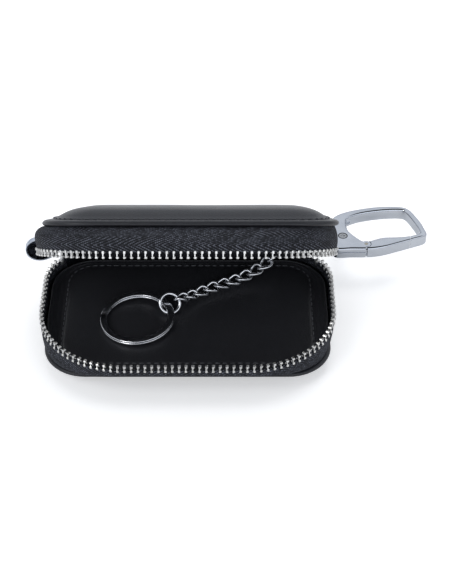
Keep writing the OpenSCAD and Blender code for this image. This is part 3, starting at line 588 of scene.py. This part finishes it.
def row_at(s):
    """Place on the right half of a row of teeth; the left half mirrors it."""
    side, s = (1 if s >= 0 else -1), abs(s)
    if s <= run_a:
        return (side * s, row_front)
    if s <= run_a + run_b:
        a = (s - run_a) / row_fr
        return (side * (run_a + row_fr * math.sin(a)), row_front + row_fr - row_fr * math.cos(a))
    if s <= run_a + run_b + run_c:
        return (side * row_hx, row_front + row_fr + s - run_a - run_b)
    a = (s - run_a - run_b - run_c) / row_rr
    return (side * (row_hx - row_rr + row_rr * math.cos(a)), row_rear - row_rr + row_rr * math.sin(a))


def add_block(bm, centre, size, bevel):
    """A small block with eased edges, in millimetres, added to a mesh being built."""
    made = bmesh.ops.create_cube(bm, size=1.0)
    bmesh.ops.scale(bm, vec=Vector(size) * mm, verts=made["verts"])
    bmesh.ops.translate(bm, vec=Vector(centre) * mm, verts=made["verts"])
    edges = list({e for v in made["verts"] for e in v.link_edges})
    bmesh.ops.bevel(bm, geom=edges, offset=bevel * mm, segments=1, affect="EDGES", profile=0.6)


def built(bm, name):
    """The object of a mesh that has been built."""
    mesh = bpy.data.meshes.new(name)
    bm.to_mesh(mesh)
    bm.free()
    return in_scene(name, mesh)


bm = bmesh.new()
for leg_y in (-0.7, 0.7):
    add_block(bm, (0, leg_y, -1.02), (0.95, 0.58, 1.05), 0.15)
add_block(bm, (-0.1, 0, -0.02), (0.52, 1.1, 1.3), 0.1)
add_block(bm, (0.06, 0, 0.95), (1.14, 1.55, 0.86), 0.22)
# The cup in the head that the next tooth sits in
cup = max(bm.faces, key=lambda f: f.calc_center_median().z)
for rim in (0.14, 0.1):
    bmesh.ops.inset_region(bm, faces=[cup], thickness=rim * mm)
bmesh.ops.translate(bm, vec=(0, 0, -0.34 * mm), verts=list(cup.verts))
tooth_model = built(bm, "tooth_model")


def repeat_tree(name, seed):
    """Copies of a model along a path, an even count, turned to follow it."""
    made = bpy.data.node_groups.new(name, "GeometryNodeTree")
    for label, kind in (("Geometry", "Geometry"), ("Count", "Int"), ("Model", "Object"), ("Size", "Float"),
                        ("Unevenness", "Float"), ("Finish", "Material")):
        made.interface.new_socket(label, in_out="INPUT", socket_type="NodeSocket" + kind)
    made.interface.new_socket("Geometry", in_out="OUTPUT", socket_type="NodeSocketGeometry")
    given, out = made.nodes.new("NodeGroupInput").outputs, made.nodes.new("NodeGroupOutput")
    spread = add_node(made, "GeometryNodeResampleCurve", {"Curve": given["Geometry"], "Count": given["Count"]})
    tangent = add_node(made, "GeometryNodeInputTangent").outputs[0]
    aim = add_node(made, "FunctionNodeAlignRotationToVector", {"Vector": tangent}, axis="X", pivot_axis="Z")
    model = add_node(made, "GeometryNodeObjectInfo", {"Object": given["Model"]})
    least = worked(made, "SUBTRACT", given["Size"], given["Unevenness"])
    # Inputs 2 and 3 are the least and the most of a random plain number
    limits = {"Seed": seed, 2: least, 3: given["Size"]}
    chance = add_node(made, "FunctionNodeRandomValue", limits, data_type="FLOAT")
    put = add_node(made, "GeometryNodeInstanceOnPoints", {
        "Points": spread.outputs[0], "Instance": model.outputs["Geometry"], "Rotation": aim.outputs[0],
        "Scale": chance.outputs[1]})
    whole = add_node(made, "GeometryNodeRealizeInstances", {0: put.outputs[0]})
    paint = add_node(made, "GeometryNodeSetMaterial", {0: whole.outputs[0], "Material": given["Finish"]})
    feed(made, out, {0: paint.outputs[0]})
    return made


repeat_along = repeat_tree("copies_along_a_path", 7)


def plain_mesh(maker, name):
    """The mesh that an object's outline or modifiers give; the object itself is removed."""
    bpy.context.view_layer.update()
    made = bpy.data.meshes.new_from_object(maker.evaluated_get(bpy.context.evaluated_depsgraph_get()))
    bpy.data.objects.remove(maker)
    made.name = name
    return made


def add_line(curve, points, closed):
    """A line of millimetre points in a curve."""
    line = curve.splines.new("POLY")
    line.points.add(len(points) - 1)
    for point, (x, y, z) in zip(line.points, points):
        point.co = (x * mm, y * mm, z * mm, 1)
    line.use_cyclic_u = closed


def copies_on_path(name, path, count, model, finish, uneven=0.0, closed=False):
    """A plain mesh of copies of a model along a path given in millimetres."""
    curve = bpy.data.curves.new(name, "CURVE")
    curve.dimensions = "3D"
    add_line(curve, path, closed)
    carrier = in_scene(name + "_path", curve)
    maker = carrier.modifiers.new("copies", "NODES")
    maker.node_group = repeat_along
    sockets = {s.name: s.identifier for s in repeat_along.interface.items_tree if s.in_out == "INPUT"}
    values = {"Count": count, "Model": model, "Size": 1.0, "Unevenness": uneven, "Finish": finish}
    for label, value in values.items():
        maker[sockets[label]] = value
    return in_scene(name, plain_mesh(carrier, name))


for (side, body, on_lid), shift in zip(shells, (0.0, 0.5)):
    last = math.floor(row_half / tooth_pitch - shift)
    first = -math.floor(row_half / tooth_pitch + shift)
    steps = [(first + shift) * tooth_pitch + i * tooth_pitch / fine_parts
             for i in range((last - first) * fine_parts + 1)]
    path = [(*row_at(s), tooth_mid) for s in steps]
    piece = copies_on_path(side + "_teeth_row", path, last - first + 1, tooth_model, zip_silver)
    if on_lid:
        for v in piece.data.vertices:
            v.co = Vector(to_lid((v.co.x / mm, v.co.y / mm, v.co.z / mm))) * mm
        piece.data.flip_normals()
    set_piece(piece, zip_silver, body, side + "_teeth")
bpy.data.objects.remove(tooth_model)

# Stops and slider of the zip.
# Three small clips are pinched over the ends of the rows; the slider is cast
# in two plates with a bridge, plated dark, and waits at the left end.
cast_sharp = 32.0


def mended(mesh, weld=0.0, flat=0.0):
    """Join doubled points, drop edges that lie flat, and turn the faces outwards."""
    bm = bmesh.new()
    bm.from_mesh(mesh)
    if weld:
        bmesh.ops.remove_doubles(bm, verts=bm.verts, dist=weld * mm)
    if flat:
        bmesh.ops.dissolve_limit(bm, angle_limit=math.radians(flat), verts=bm.verts, edges=bm.edges,
                                 delimit={"NORMAL"})
    bmesh.ops.recalc_face_normals(bm, faces=bm.faces)
    bm.to_mesh(mesh)
    bm.free()


def smoothed(mesh, sharp):
    """Smooth faces, but for edges sharper than an angle."""
    mesh.polygons.foreach_set("use_smooth", [True] * len(mesh.polygons))
    mesh.set_sharp_from_angle(angle=math.radians(sharp))


def eased_copy(node, name, bevel, segments=2):
    """A copy of a measured piece, its triangles joined and its edges eased."""
    mesh = nodes[node].data.copy()
    mesh.name = name
    mesh.transform(nodes[node].matrix_world)
    mesh.materials.clear()
    mended(mesh, weld=0.004, flat=1.5)
    rough = in_scene(name + "_rough", mesh)
    ease = rough.modifiers.new("eased", "BEVEL")
    ease.width, ease.segments = bevel * mm, segments
    ease.limit_method, ease.angle_limit = "ANGLE", math.radians(30.0)
    ease.use_clamp_overlap, ease.harden_normals = True, False
    made = plain_mesh(rough, name)
    smoothed(made, cast_sharp)
    return in_scene(name, made)


# Plating wear: broad smudges and fine scratches
plating_wear, given, out = effect_group("plating_wear", {"Fine scale": 900.0}, ("Smudge", "Fine"))
smudge = spotted(plating_wear, "ShaderNodeTexNoise", 110.0, {"Detail": 5.0})["Fac"]
scratch = spotted(plating_wear, "ShaderNodeTexNoise", given["Fine scale"], {"Detail": 2.0})["Fac"]
feed(plating_wear, out, {"Smudge": smudge, "Fine": scratch})


def plating(name, low, high, rough_low, rough_high, bump=0.03):
    """A plated metal: its tint and gloss drift a little over the surface."""
    finish, tree, metal = new_finish(name)
    wear = add_node(tree, "ShaderNodeGroup", node_tree=plating_wear).outputs
    feed(tree, metal, {"Metallic": 1.0, "Base Color": colour_ramp(tree, wear["Smudge"], low, high, 0.3, 0.7),
                       "Roughness": ranged(tree, wear["Smudge"], rough_low, rough_high, 0.3, 0.7),
                       "Normal": bumped(tree, wear["Fine"], bump, 0.0001)})
    return finish


dark_nickel = plating("dark_nickel", (0.035, 0.040, 0.052), (0.060, 0.066, 0.084), 0.2, 0.3)
for node, body in (("zip_bottom_stop", "tray"), ("zip_top_stop_lower", "tray"), ("zip_top_stop_lid", "lid")):
    set_piece(eased_copy(node, node + "_clip", 0.25), zip_silver, body, node)
set_piece(eased_copy("zip_slider", "slider_casting", 0.3), dark_nickel, "tray", "zip_slider")

# Pull tab of the slider.
# An oval tab with a raised polished rim round a dark sunk face, cast in one
# with the eye that turns on the slider's bridge.
pull_bright = plating("pull_bright", (0.56, 0.61, 0.70), (0.68, 0.73, 0.81), 0.14, 0.22)
tab_rim, tab_step, tab_sunk = 1.0, 0.15, 0.3
broad_face = 40e-6
tab = eased_copy("zip_puller", "pull_tab", 0.28)
set_piece(tab, pull_bright, "puller", "zip_puller")
tab.data.materials.append(dark_nickel)
bm = bmesh.new()
bm.from_mesh(tab.data)
for flat in [f for f in bm.faces if f.calc_area() > broad_face]:
    bmesh.ops.inset_region(bm, faces=[flat], thickness=tab_rim * mm)
    walls = bmesh.ops.inset_region(bm, faces=[flat], thickness=tab_step * mm)["faces"]
    bmesh.ops.translate(bm, vec=-tab_sunk * mm * flat.normal, verts=list(flat.verts))
    for f in [flat] + walls:
        f.material_index = 1
bm.to_mesh(tab.data)
bm.free()
tab.data.set_sharp_from_angle(angle=math.radians(cast_sharp))

# Folding spine.
# One strip of the cover's leather runs from rim to rim round the back and
# folds along a soft crease between the ends of the zip.
spine_t, crease_dip = 1.2, 0.35
# Its ends lap over the ends of the tapes, but stop short beside the slider on the lid
strip_end, slider_end, lap = 57.0, 72, 0.3
spine_levels = (7.5, 8.6, 9.8, 11.0, 12.3, 13.6, 14.8, 15.9, 16.8, 17.4)
crease_level, blend_level = 18.0, 16.4
bend_parts, back_parts = 12, 40


def spine_row(z, off, on_lid):
    """The strip's run across the back at a height, from its right end to its left."""
    hx, yf, yb, rf, rb = wall_numbers(min(z, tape_top), off)
    xb, left = hx - rb, slider_end if on_lid else strip_end
    run = (arc(xb, yb - rb, rb, strip_end, 90, bend_parts) + straight((xb, yb), (-xb, yb), back_parts)[1:-1]
           + arc(-xb, yb - rb, rb, 90, 180 - left, bend_parts))
    points = [(x, y, z) for x, y in run]
    return [to_lid(p) for p in points] if on_lid else points


def spine_side(off):
    """The strip's rows on one face, from the lower rim to the lid's rim."""
    low, high = ([spine_row(z, off, on_lid) for z in spine_levels] for on_lid in (False, True))
    a, b = spine_row(crease_level, off, False), spine_row(crease_level, off, True)
    fold = [((p[0] + q[0]) / 2, (p[1] + q[1]) / 2 - crease_dip, (p[2] + q[2]) / 2) for p, q in zip(a, b)]
    return low + [fold] + high[::-1]


outer, inner = spine_side(-lap), spine_side(spine_t)
rows = outer + inner[::-1]
n, m = len(rows[0]), len(rows)
faces = quads(m, n, join_rows=True, join_ends=False, across=True)
for i in (0, n - 1):
    ends = [(j * n + i, (m - 1 - j) * n + i, (m - 2 - j) * n + i, (j + 1) * n + i)
            for j in range(len(outer) - 1)]
    faces += turned_round(ends) if i else ends
spine = new_piece("folding_spine", [p for row in rows for p in row], faces)
mended(spine.data)
spine.data.materials.append(cover_leather)
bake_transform(spine)
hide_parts("spine_lower", "spine_upper")

# Strap between the case and the hook.
# A doubled leather strip sewn in at the right end of the zip; its far end
# is clamped in the slot of the hook by the screw.
strap_leather = leather("strap_leather", (0.012, 0.012, 0.014), (0.022, 0.022, 0.025),
                        1500.0, 0.5, 0.3, 0.42, 0.58)
strap = eased_copy("hook_strap", "strap_leather_strip", 0.45, segments=3)
set_piece(strap, strap_leather, "strap", "hook_strap")

# Spring hook: body, gate, pin and spring.
# Cast and plated satin, with softly eased edges; the gate turns on a pin
# held by two ears, and a small coil in its pocket pushes it shut.
satin_chrome = plating("satin_chrome", (0.58, 0.61, 0.66), (0.68, 0.705, 0.75), 0.10, 0.16, bump=0.02)
hook_x, hook_y, hook_l, hook_w, hook_t = 60.9, 25.0, 39.8, 29.2, 5.5
hook_mid = hinge_z
hook_low, hook_high = hook_mid - hook_t / 2, hook_mid + hook_t / 2
hook_shares = [
    (0, 0.01), (0.19, 0), (0.38, 0.004), (0.53, 0.045), (0.68, 0.125), (0.84, 0.215),
    (0.965, 0.29), (1, 0.36), (0.985, 0.47), (0.955, 0.62), (0.9, 0.8), (0.85, 0.925),
    (0.775, 0.985), (0.63, 1), (0.44, 0.975), (0.19, 0.885), (0.04, 0.77), (0, 0.64), (-0.005, 0.3)]
eye_shares = [
    (0.16, 0.45), (0.152, 0.66), (0.19, 0.735), (0.33, 0.825), (0.55, 0.89), (0.74, 0.905),
    (0.81, 0.86), (0.87, 0.68), (0.925, 0.45), (0.915, 0.36), (0.81, 0.3), (0.68, 0.275),
    (0.53, 0.265), (0.44, 0.22), (0.35, 0.17), (0.3, 0.19), (0.22, 0.31)]
pin_x, pin_y, pin_r = hook_x + 0.34 * hook_l, hook_y + 0.105 * hook_w, 0.8
tip_x, slot_y = hook_x + 0.8 * hook_l, hook_y + 0.5 * hook_w
screw_x, screw_y = hook_x + 0.1 * hook_l, hook_y + 0.29 * hook_w
post_r, head_seat_r, foot_seat_r = 1.4, 2.05, 1.65
knuckle_h, knuckle_r, knuckle_room = hook_t / 2.4, 2.0, 0.15
ear_h = (hook_t - knuckle_h) / 2 - knuckle_room
slot_h, past, cast_ease = 2.3, 1.0, 1.0


def closed_spline(shares, parts=8):
    """A smooth closed outline through shares of the hook's length and width."""
    pts = [(hook_x + a * hook_l, hook_y + b * hook_w) for a, b in shares]
    n, out = len(pts), []
    for i in range(n):
        out += smooth_step(pts[i - 1], pts[i], pts[(i + 1) % n], pts[(i + 2) % n], parts)
    return out


def nose_edge(y, grow):
    """Where the slanted cut between gate and nose lies at a depth."""
    return tip_x + grow + 1.2 * (y - hook_y + past) / (slot_y - hook_y + past)


def plate(name, outlines, low, high, ease):
    """A cast plate from flat outlines with softly rounded rims, holes and all."""
    curve = bpy.data.curves.new(name, "CURVE")
    curve.dimensions, curve.fill_mode = "2D", "BOTH"
    curve.extrude = ((high - low) / 2 - ease) * mm
    curve.bevel_depth, curve.bevel_resolution, curve.offset = ease * mm, 4, -ease * mm
    for outline in outlines:
        add_line(curve, [(x, y, 0) for x, y in outline], True)
    made = plain_mesh(in_scene(name + "_outline", curve), name)
    made.transform(Matrix.Translation((0, 0, (low + high) / 2 * mm)))
    mended(made, weld=0.003)
    return in_scene(name, made)


def circle(cx, cy, r, parts):
    """Points round a circle, counter-clockwise."""
    turns = [math.tau * i / parts for i in range(parts)]
    return [(cx + r * math.cos(a), cy + r * math.sin(a)) for a in turns]


def prism(corners, low, high):
    """A plain upright cutter or core over corners given counter-clockwise."""
    n = len(corners)
    faces = quads(2, n) + [tuple(reversed(range(n))), tuple(range(n, 2 * n))]
    return new_piece("cutter", [(x, y, z) for z in (low, high) for x, y in corners], faces)


def round_bar(cx, cy, r, low, high):
    return prism(circle(cx, cy, r, 40), low, high)


def square_bar(x0, x1, y0, y1, low, high):
    return prism([(x0, y0), (x1, y0), (x1, y1), (x0, y1)], low, high)


def carved(piece, cutters, joined=(), kept=()):
    """The piece kept inside some shapes, others joined on, and cutters taken away."""
    steps = [(o, "INTERSECT") for o in kept] + [(o, "UNION") for o in joined]
    steps += [(o, "DIFFERENCE") for o in cutters]
    for other, way in steps:
        step = piece.modifiers.new("step", "BOOLEAN")
        step.operation, step.object, step.solver = way, other, "EXACT"
    name = piece.name
    made = plain_mesh(piece, name)
    for other, way in steps:
        bpy.data.objects.remove(other)
    smoothed(made, 38.0)
    return in_scene(name, made)


def gate_stretch(pin_gap, nose_gap):
    """A cutter over the stretch of the front bar between the pin and the nose."""
    start, low_y = pin_x + pin_gap, hook_y - past
    corners = [(start, low_y), (nose_edge(low_y, nose_gap), low_y),
               (nose_edge(slot_y, nose_gap), slot_y), (start, slot_y)]
    return prism(corners, hook_low - past, hook_high + past)


whole = [closed_spline(hook_shares), closed_spline(eye_shares)]
ears = [plate("ear", [circle(pin_x, pin_y, knuckle_r, 36)], z, z + ear_h, 0.3)
        for z in (hook_low, hook_high - ear_h)]
opened = carved(plate("hook_casting", whole, hook_low, hook_high, cast_ease), [gate_stretch(-0.35, 0.14)])
room = knuckle_h / 2 + knuckle_room
cutters = [
    round_bar(pin_x, pin_y, knuckle_r + 0.25, hook_mid - room, hook_mid + room),
    round_bar(pin_x, pin_y, pin_r, hook_low - past, hook_high + past),
    # The slot for the strap, and a fine line cast in the front
    square_bar(hook_x - past, hook_x + 8, 26.0, hook_y + hook_w, hook_mid - slot_h / 2, hook_mid + slot_h / 2),
    square_bar(hook_x - past, pin_x, hook_y - past, hook_y + 0.35, hook_high - 2.35, hook_high - 2.0),
    # The post's hole and the seats of the screw's head and the post's foot
    round_bar(screw_x, screw_y, post_r, hook_low - past, hook_high + past),
    round_bar(screw_x, screw_y, head_seat_r, hook_high - 0.8, hook_high + past),
    round_bar(screw_x, screw_y, foot_seat_r, hook_low - past, hook_low + 0.45)]
casting = carved(opened, cutters, ears)
set_piece(casting, satin_chrome, "hook", "hook_body")
# The screw's seats and hole take the dark finish, as painted shade in the recess round the screw
casting.data.materials.append(dark_nickel)
for f in casting.data.polygons:
    away = math.dist((f.center.x, f.center.y), (screw_x * mm, screw_y * mm))
    f.material_index = 1 if away < (head_seat_r + 0.01) * mm and f.center.z < (hook_high - 0.05) * mm else 0

bar = carved(plate("gate_casting", whole, hook_low, hook_high, cast_ease),
             [round_bar(pin_x, pin_y, knuckle_r + 0.25, hook_low - past, hook_high + past)],
             kept=[gate_stretch(0.45, 0.0)])
knuckle_z = (hook_mid - knuckle_h / 2, hook_mid + knuckle_h / 2)
knuckle = round_bar(pin_x, pin_y, knuckle_r, *knuckle_z)
web = square_bar(pin_x, pin_x + 3.5, pin_y - 1.2, pin_y + 1.2, *knuckle_z)
# The pin's hole, and the pocket of the coil
cutters = [round_bar(pin_x, pin_y, pin_r + 0.05, hook_low - past, hook_high + past),
           round_bar(pin_x, pin_y, 1.6, hook_mid - 0.75, hook_mid + 0.75)]
set_piece(carved(bar, cutters, [knuckle, web]), satin_chrome, "gate", "hook_gate")
warm_steel = plating("warm_steel", (0.50, 0.46, 0.38), (0.62, 0.58, 0.50), 0.2, 0.32)
set_piece(eased_copy("gate_pin", "gate_rivet", 0.18), warm_steel, "hook", "gate_pin")


def tube_along(name, path, radius, sides, closed=True):
    """A round wire along a path in millimetres, closed on itself or capped."""
    pts = [Vector(p) for p in path]
    n = len(pts)
    middle = sum(pts, Vector()) / n
    verts = []
    for i, c in enumerate(pts):
        a = pts[(i - 1) % n] if closed or i else pts[0]
        b = pts[(i + 1) % n] if closed or i < n - 1 else pts[-1]
        t = (b - a).normalized()
        u = (t.cross((c - middle).cross(t))).normalized()
        v = t.cross(u)
        verts += [tuple(c + radius * (u * p + v * q)) for p, q in circle(0, 0, 1, sides)]
    faces = quads(n, sides, join_rows=closed)
    if not closed:
        faces += [tuple(reversed(range(sides))), tuple(range((n - 1) * sides, n * sides))]
    return new_piece(name, verts, faces)


coil_r, coil_wire_r, coil_low, coil_rise, coil_steps = 1.2, 0.14, 18.0, 0.32, 24
coil = [(pin_x + coil_r * math.cos(a), pin_y + coil_r * math.sin(a), coil_low + a / math.tau * coil_rise)
        for a in (math.tau * i / coil_steps for i in range(coil_steps * 3 + 7))]
coil_piece = tube_along("gate_coil", coil, coil_wire_r, 6, closed=False)
set_piece(coil_piece, warm_steel, "hook", "gate_spring")

# Clamp screw and its post.
# A small cross-slot screw goes down through the strap into a threaded post.
grey_steel = plating("grey_steel", (0.40, 0.41, 0.42), (0.56, 0.57, 0.58), 0.18, 0.3)
set_piece(eased_copy("clamp_screw", "cross_screw", 0.12), grey_steel, "strap", "clamp_screw")
set_piece(eased_copy("clamp_post", "screw_post", 0.1), grey_steel, "strap", "clamp_post")

# Keeper and anchor ring at the spine.
# A scrap of leather folded round the last ring is sewn into the spine.
ring_chrome = plating("ring_chrome", (0.80, 0.81, 0.84), (0.90, 0.91, 0.93), 0.09, 0.16, bump=0.01)
link_yaws = [42, 41, 33, 29, 25, 24, 23, 22, 22]
link_climbs = [-20, -14, 0, 0, 0, 4, 12, 22, 30]
link_l, link_w, link_spacing, wire = 6.8, 4.6, 5.07, 1.35
# Clear gap between neighbouring rings, and how far a link's bow passes its joint
ring_gap, bow_out = 0.15, (link_l - link_spacing) / 2
anchor_r, anchor_wire = 2.25, 1.2
starts, headings = [Vector((-4.52, 2.7, 12.55))], []
for yaw, climb in zip(link_yaws, link_climbs):
    y, c = math.radians(yaw), math.radians(climb)
    headings.append(Vector((math.cos(c) * math.cos(y), math.cos(c) * math.sin(y), math.sin(c))))
    starts.append(starts[-1] + link_spacing * headings[-1])


def spun(*turns):
    """One turn after another, each an angle in degrees and an axis."""
    out = Matrix.Identity(3)
    for angle, axis in turns:
        out = out @ Matrix.Rotation(math.radians(angle), 3, axis)
    return out


def hoop(middle, spin, r, parts):
    """Points round a ring that stands turned in space."""
    return [tuple(middle + spin @ Vector((x, y, 0))) for x, y in circle(0, 0, r, parts)]


anchor_hold = (wire + anchor_wire) / 2 + ring_gap - bow_out
anchor_mid = starts[8] + (link_spacing - anchor_hold + anchor_r) * headings[8]
loop = hoop(anchor_mid, spun((22, "Z"), (-30, "Y"), (-45, "X")), anchor_r, 40)
anchor = tube_along("anchor_loop", loop, anchor_wire / 2, 14)
set_piece(anchor, ring_chrome, "tray", "anchor_ring")

bm = bmesh.new()
far = anchor_mid + anchor_r * headings[8]
add_block(bm, (far.x, 26.1, far.z), (4.5, 2.5, 3.5), 0.6)
set_piece(built(bm, "keeper_loop"), strap_leather, "tray", "anchor_keeper")

# Chain of nine twisted links.
# Each is a wire oval given an eighth of a turn so that the chain lies flat.
bow_r, bow_x = link_w / 2, link_l / 2 - link_w / 2
bow_parts, shank_parts, link_twist = 20, 4, 45
oval = arc(bow_x, 0, bow_r, -90, 90, bow_parts)
oval += straight((bow_x, bow_r), (-bow_x, bow_r), shank_parts)[1:-1]
oval += arc(-bow_x, 0, bow_r, 90, 270, bow_parts)
oval += straight((-bow_x, -bow_r), (bow_x, -bow_r), shank_parts)[1:-1]
for number, (yaw, climb) in enumerate(zip(link_yaws, link_climbs)):
    middle = starts[number] + link_spacing / 2 * headings[number]
    spin = spun((yaw, "Z"), (-climb, "Y"))
    path = []
    for x, y in oval:
        a = math.radians(link_twist * x / (link_l / 2))
        path.append(tuple(middle + spin @ Vector((x, y * math.cos(a), y * math.sin(a)))))
    label = "%02d" % (number + 1)
    set_piece(tube_along("wire_link_" + label, path, wire / 2, 12), ring_chrome,
              "link_" + label, "chain_link_" + label)

# Jump ring between the chain and the split ring.
# A plain round ring of wire, leaning on the lining.
jump_r, jump_wire = 4.1, 1.4
jump_hold = (wire + jump_wire) / 2 + ring_gap - bow_out
lean = spun((12, "Z"), (45, "X"), (19, "Z"))
jump_mid = starts[0] + jump_hold * headings[0] + lean @ Vector((-jump_r, 0, 0))
jump = tube_along("jump_loop", hoop(jump_mid, lean, jump_r, 64), jump_wire / 2, 16)
set_piece(jump, ring_chrome, "jump_ring", "jump_ring")

# Split ring for the keys.
# One flat spring wire runs two full turns, stepping up between them, its
# edges rounded and polished; the chain's ring hangs on it.
split_od, split_wire, split_h = 30.5, 2.8, 2.0
split_yaw, split_tilt, hang_r, edge_r = 28, 3.5, 14.85, 0.42
yaw = math.radians(split_yaw)
lie_z = rim_z + split_od / 2 * math.sin(math.radians(split_tilt)) + ring_gap
split_mid = Vector((jump_mid.x - hang_r * math.cos(yaw), jump_mid.y - hang_r * math.sin(yaw), lie_z))
split_spin = spun((split_yaw, "Z"), (-split_tilt, "Y"), (150, "Z"))
turn_h = split_h / 2 - ring_gap / 2
section = []
for cx, cy, start in ((1, -1, -90), (1, 1, 0), (-1, 1, 90), (-1, -1, 180)):
    section += arc(cx * (split_wire / 2 - edge_r), cy * (turn_h / 2 - edge_r), edge_r, start, start + 90, 4)
# The wire's two ends, and where it steps up to its second turn, in degrees
wire_start, wire_end, step_from, step_to, ground = 8.0, 712.0, 338.0, 368.0, 9.0
sweep = 180
verts = []
for i in range(sweep + 1):
    angle = wire_start + (wire_end - wire_start) * i / sweep
    z = turn_h / 2 + split_h / 2 * soft_share(angle, step_from, step_to)
    a = math.radians(angle)
    # Both ends are ground down to a slope
    slope = min(1.0, 0.3 + 0.7 * min(angle - wire_start, wire_end - angle) / ground)
    lean_to = (1 - slope) * turn_h / 2 * (-1 if angle < 360 else 1)
    for wide, up in section:
        r = split_od / 2 - split_wire / 2 + wide
        spot = Vector((r * math.cos(a), r * math.sin(a), z + up * slope - lean_to))
        verts.append(tuple(split_mid + split_spin @ spot))
n = len(section)
faces = quads(sweep + 1, n, across=True)
faces += [tuple(range(n)), tuple(reversed(range(sweep * n, (sweep + 1) * n)))]
ring = new_piece("split_ring_wire", verts, turned_round(faces))
ring.data.set_sharp_from_angle(angle=math.radians(50.0))
set_piece(ring, ring_chrome, "split_ring", "split_ring")

# Seam stitches of the covers and the lining.
# Waxed grey thread, sewn all round the crown in its groove and round each
# lining floor; each stitch is a short fat loop that sinks at both ends.
thread_twist, given, out = effect_group("thread_twist", {"Strand size": 2400.0}, ("Strands",))
feed(thread_twist, out, {"Strands": spotted(thread_twist, "ShaderNodeTexNoise", given["Strand size"])["Fac"]})


def waxed_thread(name, shadow, shine):
    """Twisted thread: fine strands, with painted shadow between them and a painted shine where they stand
    proud.
    """
    finish, tree, thread = new_finish(name)
    strands = add_node(tree, "ShaderNodeGroup", node_tree=thread_twist).outputs["Strands"]
    feed(tree, thread, {"Base Color": colour_ramp(tree, strands, shadow, shine), "Roughness": 0.55,
                        "Normal": bumped(tree, strands, 0.5, 0.0001)})
    return finish


seam_thread = waxed_thread("seam_thread", (0.028, 0.029, 0.033), (0.085, 0.088, 0.098))
lining_thread = waxed_thread("lining_thread", (0.055, 0.057, 0.063), (0.150, 0.154, 0.168))

stitch_pitch, stitch_half, stitch_sink, stitch_sides = 3.0, 1.15, 0.16, 6
stitch_waists = ((-1.15, 0.1), (-0.8, 0.24), (0.0, 0.28), (0.8, 0.24), (1.15, 0.1))
verts = []
for x, r in stitch_waists:
    sink = -stitch_sink * (abs(x) / stitch_half) ** 3
    verts += [(x, y, sink + z) for y, z in circle(0, 0, r, stitch_sides)]
last = (len(stitch_waists) - 1) * stitch_sides
faces = quads(len(stitch_waists), stitch_sides)
faces += [tuple(reversed(range(stitch_sides))), tuple(range(last, last + stitch_sides))]
stitch_model = new_piece("stitch_model", verts, turned_round(faces))


def stitched(name, path, thread, body, on_lid):
    """Stitches all round a closed path, on one shell."""
    count = round(lengths_along(path + path[:1])[-1] / stitch_pitch)
    path = [to_lid(p) for p in path] if on_lid else path
    piece = copies_on_path(name, path, count, stitch_model, thread, uneven=0.12, closed=True)
    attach(piece, body)


floor_line = [(x, y, floor_z) for x, y in ring_round(50.9, -30.2, 30.0, 12.0, 11.0)]
for side, body, on_lid in shells:
    stitched(side + "_seam_stitches", panel_ring(3.75, 4.86), seam_thread, body, on_lid)
    stitched(side + "_lining_stitches", floor_line, lining_thread, body, on_lid)
bpy.data.objects.remove(stitch_model)
